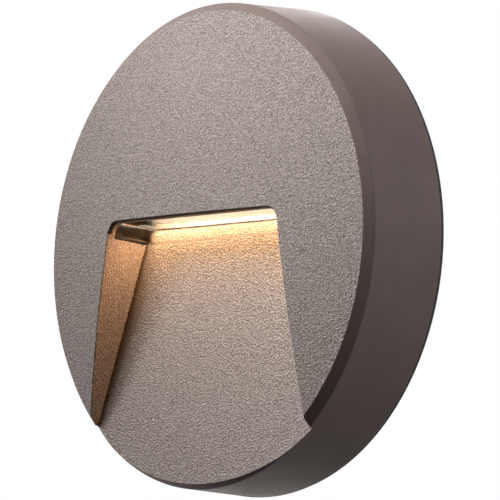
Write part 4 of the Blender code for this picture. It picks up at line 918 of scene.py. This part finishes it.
def housing_bosses():
    """Every screw boss inside the housing.

    Each is a side, a height, the depth of its rear end, its radius, and its hole's reach
    and radius.
    """
    wide = (BOSS_RADIUS, SCREW_REACH, SHAFT_RADIUS)
    slim = (POST_RADIUS, POST_REACH, POST_SHAFT_RADIUS)
    bosses = [(side, height, BOSS_TOP, *wide) for side, height in cover_spots()]
    for nodes, clamped, sizes in (
        (("heat_spreader_screw_1", "heat_spreader_screw_2"), PLATE + 2 * FIT, wide),
        (("driver_case_screw_1", "driver_case_screw_2"), CASE_WALL + 2 * FIT, wide),
        (("terminal_block_screw_1", "terminal_block_screw_2"), FIT, slim),
        (("earth_screw",), EARTH_STACK + 2 * FIT, wide),
    ):
        for node in nodes:
            low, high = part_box(node)
            middle = (low + high) / 2
            bosses.append((middle.x, middle.z, -low.y - sizes[1] + clamped, *sizes))
    return bosses


def cavity_form():
    """The hollow behind the front wall, less the pocket, the lens's seat and the bosses."""
    line = [(0, RIM_START - OVERRUN), (SKIRT_RADIUS, RIM_START - OVERRUN), (SKIRT_RADIUS, LEDGE_DEPTH)]
    line.append((CAVITY_RADIUS, LEDGE_DEPTH))
    inner = CAVITY_RADIUS - INNER_FILLET
    line.append((CAVITY_RADIUS, face_depth(inner) - SHELL_WALL - INNER_FILLET))
    for ring in range(HIDDEN_RINGS):
        radius = inner * (1 - ring / HIDDEN_RINGS)
        line.append((radius, face_depth(radius) - SHELL_WALL))
    line.append((0, face_depth(0) - SHELL_WALL))
    hollow = turned("hollow", line, HIDDEN_STEPS)
    foot = FOOT - OVERRUN
    top_half = recess_half(POCKET_TOP) + POCKET_WALL
    foot_half = recess_half(foot) + POCKET_WALL
    pocket = [(-foot_half, foot), (foot_half, foot), (top_half, POCKET_TOP), (-top_half, POCKET_TOP)]
    half = LENS_HALF + POCKET_WALL
    low = POCKET_TOP - OVERRUN
    shape_by(hollow, [
        prism("pocket", pocket, floor_back, face_depth(0)),
        block("upstand", (-half, half), (FLOOR_TOP - SHELL_WALL, FLOOR_TOP), (low, LENS_TOP)),
        block("seat", (-half, half), (LENS_SEAT, face_depth(0)), (low, FRAME_TOP)),
    ])
    bosses = []
    for side, height, rear, radius, _, _ in housing_bosses():
        bosses.append(rod("boss", side, height, (rear, face_depth(0)), radius))
    return shape_by(hollow, [gathered(bosses)])


def recess_form():
    """The recess: splayed and arched, with a rounded lip at the face and a small round at its floor."""
    outline = arch(RECESS_TOP, FOOT - OVERRUN)

    def ring(offset, depth_of, lift):
        points = []
        for x, z, across, up in outline:
            side, height = x + across * offset, z + up * offset
            points.append(place(side, depth_of(side, height) + lift, height))
        return points

    def floor_at(side, height):
        return floor_depth(height)

    def face_at(side, height):
        return face_depth(math.hypot(side, height))

    def above(side, height):
        return face_depth(0) + OVERRUN

    rings = []
    for step in range(EDGE_STEPS + 1):
        angle = math.pi / 2 * (1 - step / EDGE_STEPS)
        rings.append(ring(-FLOOR_EDGE * (1 - math.cos(angle)), floor_at, FLOOR_EDGE * (1 - math.sin(angle))))
    for step in range(EDGE_STEPS + 1):
        angle = LIP_LEAN * step / EDGE_STEPS
        rings.append(ring(RECESS_EDGE * (1 - math.cos(angle)), face_at, -RECESS_EDGE * (1 - math.sin(angle))))
    reach = 2 * RECESS_EDGE
    rise = (reach - RECESS_EDGE * (1 - math.cos(LIP_LEAN))) / math.tan(LIP_LEAN)
    rings.append(ring(reach, face_at, rise - RECESS_EDGE * (1 - math.sin(LIP_LEAN))))
    rings.append(ring(reach, above, 0))
    return lofted("recess", rings)


def lens_slot():
    """The room for the lens and its seal behind the front wall."""
    half = LENS_HALF + FIT
    rings = []
    for depth in (FLOOR_TOP, LENS_SEAT):
        low = POCKET_TOP - LENS_SLOPE * (LENS_SEAT - depth)
        corners = [(-half, low), (half, low), (half, FRAME_TOP + FIT), (-half, FRAME_TOP + FIT)]
        rings.append([place(side, depth, height) for side, height in corners])
    return lofted("lens_slot", rings)


def rim_holes():
    """The two holes through the rim for the set screws."""
    holes = []
    for sign in (-1, 1):
        ends = sorted((sign * ARM_REACH, sign * (REAR_RADIUS + OVERRUN)))
        line = bar(SET_SCREW_RADIUS + FIT, *ends)
        holes.append(turned("rim_hole", line, SCREW_STEPS, place(0, SET_SCREW_DEPTH, 0), "Z"))
    return holes


def satin_and_bevel_shade(spot, normal):
    """How light the satin paint is on a face of the housing, darker on the bevel as a painted shade, and
    nothing where the paint is pebbled.
    """
    radius = math.hypot(spot.x, spot.z)
    outward = (normal.x * spot.x + normal.z * spot.z) / radius
    if radius > FACE_RADIUS - FACE_EDGE and outward > BEVEL_OUTWARD:
        return BEVEL_PAINTED_SHADE if outward < SIDE_OUTWARD else 1.0
    return 0.0


def in_lip(spot, normal):
    """Whether a face belongs to the recess's edge in front of the lens, which takes a painted shade."""
    near = -spot.y > LENS_FRONT and spot.z > LENS_FOOT and abs(spot.x) < RECESS_TOP_HALF + OVERRUN
    return near and (normal.z < -LIP_TURN or normal.x * spot.x < -LIP_TURN * abs(spot.x))


def in_recess(spot, normal):
    """Whether a face belongs to the recess's floor or its walls."""
    within = spot.z < RECESS_TOP + RECESS_EDGE and abs(spot.x) < recess_half(spot.z) + RECESS_EDGE
    lip_start = face_depth(math.hypot(spot.x, spot.z)) - RECESS_EDGE / 2
    return within and floor_depth(spot.z) - FIT < -spot.y < lip_start


def in_side_wall(spot, normal):
    """Whether a face belongs to one of the recess's two walls."""
    return in_recess(spot, normal) and abs(normal.x) > WALL_UPRIGHT


def in_slot(spot):
    """Whether a face belongs to the lens's slot rather than to the open recess."""
    side, depth, height = abs(spot.x), -spot.y, spot.z
    open_recess = height < RECESS_TOP and side < recess_half(height) + FIT / 2
    deep = FLOOR_TOP + FIT / 2 < depth < LENS_SEAT + FIT / 2
    level = POCKET_TOP - FIT < height < FRAME_TOP + 2 * FIT
    return deep and level and side < LENS_HALF + 2 * FIT and not open_recess


def housing(coats):
    """The cast housing."""
    holes = rim_holes()
    for side, height, rear, _, reach, radius in housing_bosses():
        holes.append(rod("hole", side, height, (rear - OVERRUN, rear + reach + FIT), radius + FIT))
    body = shape_by(housing_form(), [cavity_form(), lens_slot(), recess_form(), gathered(holes)])
    # The "satin" share also holds the bevel's painted shade, and "lip" marks the edge that takes a painted
    # shade.
    areas = {"satin": satin_and_bevel_shade, "lip": in_lip, "recess": in_recess, "side_wall": in_side_wall}
    for name, share in areas.items():
        values = [float(share(polygon.center, polygon.normal)) for polygon in body.data.polygons]
        body.data.attributes.new(name, "FLOAT", "FACE").data.foreach_set("value", values)
    # Faces of the lens's slot take the near-black slot finish, a painted shade.
    for polygon in body.data.polygons:
        polygon.material_index = int(in_slot(polygon.center))
    return dress(body, coats, "light_unit", ["front_housing"])


def lens(material):
    """The clear ceiling of the recess: flat above, arched below, leaning back by its drop."""
    rings = []
    for depth in (LENS_BACK, LENS_FRONT):
        drop = LENS_SLOPE * (LENS_SEAT - depth)
        foot = LENS_FOOT - drop
        line = [(side, height) for side, height, _, _ in arch(RECESS_TOP - drop, foot)]
        line += [(LENS_HALF, foot), (LENS_HALF, LENS_TOP), (-LENS_HALF, LENS_TOP), (-LENS_HALF, foot)]
        rings.append([place(side, depth, height) for side, height in line])
    body = soften(lofted("lens_body", rings), LENS_EDGE)
    return dress(body, material, "light_unit", ["lens"], LENS_SMOOTH_TO)


def led_package():
    """One LED package facing down: its white base and its domed yellow phosphor."""
    base_height = LED_HEIGHT * LED_BASE_SHARE
    half = LED_SIZE / 2
    base = soften(block("base", (-half, half), (-half, half), (-base_height, 0)), base_height / 4)
    radius = LED_SIZE * LED_DOME_SHARE
    line = [(0, -base_height + FIT / 2), (radius, -base_height + FIT / 2)]
    for step in range(EDGE_STEPS + 1):
        angle = math.pi / 2 * step / EDGE_STEPS
        across = radius * math.cos(angle) if step < EDGE_STEPS else 0
        line.append((across, -base_height - (LED_HEIGHT - base_height) * math.sin(angle)))
    return base, turned("dome", line, LED_STEPS, axis="Z")


def led_packages(ceramic, phosphor, copies):
    """The row of LED packages on their board."""
    base, dome = led_package()
    span = LED_SPAN_SHARE * (LENS_HALF - FIT)
    start = place(-span, LED_ROW, BOARD_BOTTOM - FIT)
    values = {"Count": LED_COUNT, "Start": start[:], "Step": (2 * span / (LED_COUNT - 1), 0, 0)}
    nodes = [f"led_{number}" for number in range(1, LED_COUNT + 1)]
    bodies = []
    for name, copy, material, stands_for in (
        ("led_bases", base, ceramic, nodes),
        ("led_domes", dome, phosphor, []),
    ):
        body = grown(name, copies, {**values, "Copy": copy, "Finish": material})
        bodies.append(dress(body, material, "light_unit", stands_for))
        bpy.data.objects.remove(copy)
    return bodies


def pan_screw():
    """A pan head screw driven towards the viewer, its head seated at depth zero, with a cross recess."""
    line = [(0, -HEAD_HEIGHT), (HEAD_RADIUS * HEAD_TOP_SHARE, -HEAD_HEIGHT)]
    line += [(HEAD_RADIUS, -HEAD_HEIGHT * HEAD_SIDE_SHARE), (HEAD_RADIUS, 0), (SHAFT_RADIUS, 0)]
    line += [(SHAFT_RADIUS, SCREW_REACH - SHAFT_RADIUS), (SHAFT_RADIUS / 3, SCREW_REACH), (0, SCREW_REACH)]
    body = turned("pan_screw", rounded(line, [HEAD_RADIUS / 3, HEAD_HEIGHT / 4, 0, 0, 0, 0]), SCREW_STEPS)
    depths = (-HEAD_HEIGHT - OVERRUN, -HEAD_HEIGHT + DRIVE_DEPTH)
    span, width = DRIVE_SPAN / 2, DRIVE_WIDTH / 2
    cross = block("drive", (-span, span), depths, (-width, width))
    upright = block("drive", (-width, width), depths, (-span, span))
    return shape_by(body, [shape_by(cross, [upright], "UNION")])


def cover_screws(material, copies):
    """The rear cover's screws, on their circle."""
    copy = pan_screw()
    start = place(0, COVER_REAR - FIT, 0)
    values = {"Copy": copy, "Count": COVER_SCREWS, "Radius": BOSS_RING, "Start": start[:], "Finish": material}
    body = grown("cover_screws", copies, values)
    bpy.data.objects.remove(copy)
    nodes = [f"cover_screw_{number}" for number in range(1, COVER_SCREWS + 1)]
    return dress(body, material, "light_unit", nodes)


def rear_cover(material):
    """The plate that closes the housing."""
    body = rod("cover_plate", 0, 0, (COVER_REAR, COVER_FRONT), SKIRT_RADIUS - FIT, COVER_STEPS)
    depths = (COVER_REAR - OVERRUN, COVER_FRONT + OVERRUN)
    holes = [rod("hole", side, height, depths, SHAFT_RADIUS + FIT) for side, height in cover_spots()]
    holes.append(rod("hole", 0, -GROMMET_OFFSET, depths, GROMMET_NECK + FIT, GROMMET_STEPS))
    body = soften(shape_by(body, [gathered(holes)]), PLATE_EDGE)
    return dress(body, material, "light_unit", ["rear_cover"])


def cable_grommet(material):
    """The rubber grommet in the rear cover, between its two rounded lips."""
    rear, front = COVER_REAR - FIT, COVER_FRONT + FIT
    low, high = rear - GROMMET_LIP, front + GROMMET_LIP
    middle = (GROMMET_BORE, (rear + front) / 2)
    line = [middle, (GROMMET_BORE, low), (GROMMET_FLANGE, low), (GROMMET_FLANGE, rear)]
    line += [(GROMMET_NECK, rear), (GROMMET_NECK, front), (GROMMET_FLANGE, front)]
    line += [(GROMMET_FLANGE, high), (GROMMET_BORE, high), middle]
    edge = GROMMET_EDGE
    section = rounded(line, [edge, edge, edge / 2, 0, 0, edge / 2, edge, edge])[:-1]
    body = turned("grommet", section, GROMMET_STEPS, place(0, 0, -GROMMET_OFFSET))
    return dress(body, material, "light_unit", ["cable_grommet"], GROMMET_SMOOTH_TO)


def slot_outline(side, height):
    """An upright slot with round ends, as (side, height) points."""
    radius = SLOT_WIDTH / 2
    reach = SLOT_LENGTH / 2 - radius
    points = []
    for step in range(2 * SLOT_STEPS):
        angle = math.pi * (step + 0.5) / SLOT_STEPS
        lift = reach if math.sin(angle) > 0 else -reach
        points.append((side + radius * math.cos(angle), height + lift + radius * math.sin(angle)))
    return points


def wall_bracket(material):
    """The steel plate on the wall: screw slots, cable hole and two bent lugs."""
    body = rod("bracket_plate", 0, 0, (0, PLATE), BRACKET_RADIUS, COVER_STEPS)
    joined = [block("arms", (-ARM_HALF, ARM_HALF), (0, PLATE), (-ARM_REACH, ARM_REACH))]
    for sign in (-1, 1):
        heights = sorted((sign * (ARM_REACH - PLATE), sign * ARM_REACH))
        joined.append(block("lug", (-LUG_HALF, LUG_HALF), (PLATE / 2, LUG_HEIGHT), heights))
    shape_by(body, joined, "UNION")
    depths = (-OVERRUN, PLATE + OVERRUN)
    holes = [rod("cable_hole", 0, -GROMMET_OFFSET, depths, CABLE_HOLE, GROMMET_STEPS)]
    for sign in (-1, 1):
        upright = slot_outline(sign * SLOT_RING, 0)
        for outline in (upright, [(height, side) for side, height in upright]):
            holes.append(prism("slot", outline, *depths))
    body = soften(shape_by(body, [gathered(holes)]), PLATE_EDGE)
    return dress(body, material, "bracket", ["wall_bracket"])


def set_screw(name, node, sign, carrier, material):
    """A headless socket screw through the rim, just clear of the bracket's lug."""
    tip = ARM_REACH + FIT
    tail = side_radius(SET_SCREW_DEPTH) - SET_SCREW_SINK
    line = [(0, tip), (SET_SCREW_RADIUS / 2, tip), (SET_SCREW_RADIUS, tip + SET_SCREW_RADIUS / 2)]
    line += [(SET_SCREW_RADIUS, tail), (0, tail)]
    line = [(radius, sign * reach) for radius, reach in rounded(line, [0, 0, FIT])]
    socket = bar(SOCKET_RADIUS, sign * (tail - SOCKET_DEPTH), sign * (tail + OVERRUN))
    spot = place(0, SET_SCREW_DEPTH, 0)
    body = turned(name, line, SCREW_STEPS, spot, "Z")
    shape_by(body, [turned("socket", socket, SOCKET_SIDES, spot, "Z")])
    return dress(body, material, carrier, [node])


def seal_ring(name, node, radii, depths, material, tree):
    """A flat ring about the light's axis."""
    middle, width = sum(radii) / 2, radii[1] - radii[0]
    thickness = depths[1] - depths[0]
    values = {"Middle radius": middle, "Width": width, "Thickness": thickness, "Edge": thickness / 4}
    body = grown(name, tree, {**values, "Start": place(0, sum(depths) / 2, 0)[:], "Finish": material})
    return dress(body, material, "light_unit", [node])


def area_lamp(name, shape, sizes, beam, power, colour):
    """A soft lamp that the camera doesn't see."""
    lamp = bpy.data.lights.new(name, "AREA")
    lamp.shape = shape
    lamp.size, lamp.size_y = sizes
    lamp.spread = math.radians(beam)
    lamp.energy = power
    lamp.color = colour
    body = in_scene(name, lamp)
    body.visible_camera = False
    return body


def glow():
    """The warm light that the LEDs throw down through the lens and out on the recess's sides."""
    for name, side, half, drop, start, reach, turn, beam, power in GLOWS:
        for sign in (-1, 1) if side else (1,):
            sizes = (2 * half, reach)
            body = area_lamp(f"{name}_{sign}", "RECTANGLE", sizes, beam, power, GLOW_COLOUR)
            height = RECESS_TOP - CEILING_DROP - drop
            body.location = place(sign * side, LENS_BACK + start + reach / 2, height)
            body.rotation_euler = (0, -sign * math.radians(turn), 0)
            body.visible_glossy = False
            body.visible_transmission = False
            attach(body, "light_unit")


# Studio and camera


def seen_directly(tree):
    """One for a ray from the camera, off gloss or through glass, and nought for the light on the piece."""
    path = add(tree, "ShaderNodeLightPath").outputs
    seen = worked(tree, "MAXIMUM", path["Is Camera Ray"], path["Is Glossy Ray"])
    return worked(tree, "MAXIMUM", seen, path["Is Transmission Ray"])


def surroundings():
    """White surroundings that throw almost no light."""
    world = bpy.data.worlds.new("studio")
    bpy.context.scene.world = world
    world.use_nodes = True
    tree = world.node_tree
    tree.nodes.clear()
    white = add(tree, "ShaderNodeBackground", Color=(1, 1, 1), Strength=1.0)
    dim = add(tree, "ShaderNodeBackground", Color=WORLD_COLOUR, Strength=WORLD_LEVEL)
    mixed = add(tree, "ShaderNodeMixShader", Fac=seen_directly(tree))
    tree.links.new(dim.outputs["Background"], mixed.inputs[1])
    tree.links.new(white.outputs["Background"], mixed.inputs[2])
    add(tree, "ShaderNodeOutputWorld", Surface=mixed.outputs["Shader"])


def pale_floor():
    """A pale studio floor below the light."""
    shape = bmesh.new()
    bmesh.ops.create_circle(shape, cap_ends=True, radius=FLOOR_RADIUS, segments=FLOOR_STEPS)
    bmesh.ops.translate(shape, verts=shape.verts, vec=(0, 0, FLOOR_HEIGHT))
    floor = new_body("studio_floor", shape)
    material, tree, shader = new_material("pale_floor")
    seen = seen_directly(tree)
    colour = blended(tree, seen, FLOOR_BOUNCE, FLOOR_TONE)
    feed(tree, shader, Base_Color=colour, Roughness=FLOOR_ROUGHNESS, Specular_IOR_Level=FLOOR_SPECULAR)
    feed(tree, shader, Emission_Color=FLOOR_GLOW, Emission_Strength=product(tree, seen, FLOOR_LEVEL))
    floor.data.materials.append(material)


def studio():
    """White surroundings, a pale floor and soft lamps."""
    bpy.context.scene.view_settings.view_transform = "Standard"
    surroundings()
    pale_floor()
    for name, spot, aim, sizes, beam, power, colour in LAMPS:
        body = area_lamp(name, "ELLIPSE", sizes, beam, power, colour)
        body.location = spot
        body.rotation_euler = (Vector(aim) - Vector(spot)).to_track_quat("-Z", "Y").to_euler()


def camera():
    """The photograph's own viewpoint."""
    view = bpy.data.cameras.new("camera")
    view.lens = FOCAL_MM
    view.sensor_width = SENSOR_MM
    view.clip_start = NEAREST
    body = in_scene("camera", view)
    backward = [-part for part in CAMERA_FORWARD]
    turn = Matrix((CAMERA_RIGHT, CAMERA_UP, backward)).transposed()
    body.matrix_world = Matrix.Translation(CAMERA_SPOT) @ turn.to_4x4()
    bpy.context.scene.camera = body


# Putting it together


def finishes():
    """The finishes by the names of the record's slots."""
    paints = {"powder_coat": powder_coat()}
    for slot, (*row, more) in FINISHES.items():
        paints[slot] = finish(*row, **more)
    for colour, tones in LEAD_TONES.items():
        paints[f"{colour}_lead"] = finish(f"{colour}_insulation", *tones, *LEAD_GRAIN)
    return paints


def paint_solids(paints):
    """A finish on every solid that stays as it is."""
    for name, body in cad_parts.items():
        slot = body.data.materials[0].name
        if name == "terminal_block":
            slot = "white_block"
        if slot in paints:
            body.data.materials[0] = paints[slot]


def build():
    """The camera, the studio, every finish and every piece."""
    camera()
    studio()
    paints = finishes()
    paint_solids(paints)
    steel = paints["zinc_steel"]
    row = copies_tree("led_row", "row")
    circle = copies_tree("screw_circle", "circle")
    housing((paints["powder_coat"], paints["slot_coat"]))
    lens(clear_acrylic())
    led_packages(paints["led_base"], paints["led_phosphor"], row)
    glow()
    rear_cover(paints["plain_aluminium"])
    cover_screws(steel, circle)
    cable_grommet(paints["black_rubber"])
    wall_bracket(steel)
    set_screw("top_set_screw", "set_screw_top", 1, "top_screw", steel)
    set_screw("bottom_set_screw", "set_screw_bottom", -1, "bottom_screw", steel)
    radii = (SKIRT_RADIUS + WALL_GASKET_INSET, REAR_RADIUS - WALL_GASKET_INSET)
    depths = (0, WALL_GASKET)
    seal_ring("foam_ring", "wall_gasket", radii, depths, paints["grey_foam"], ring_tree())


build()
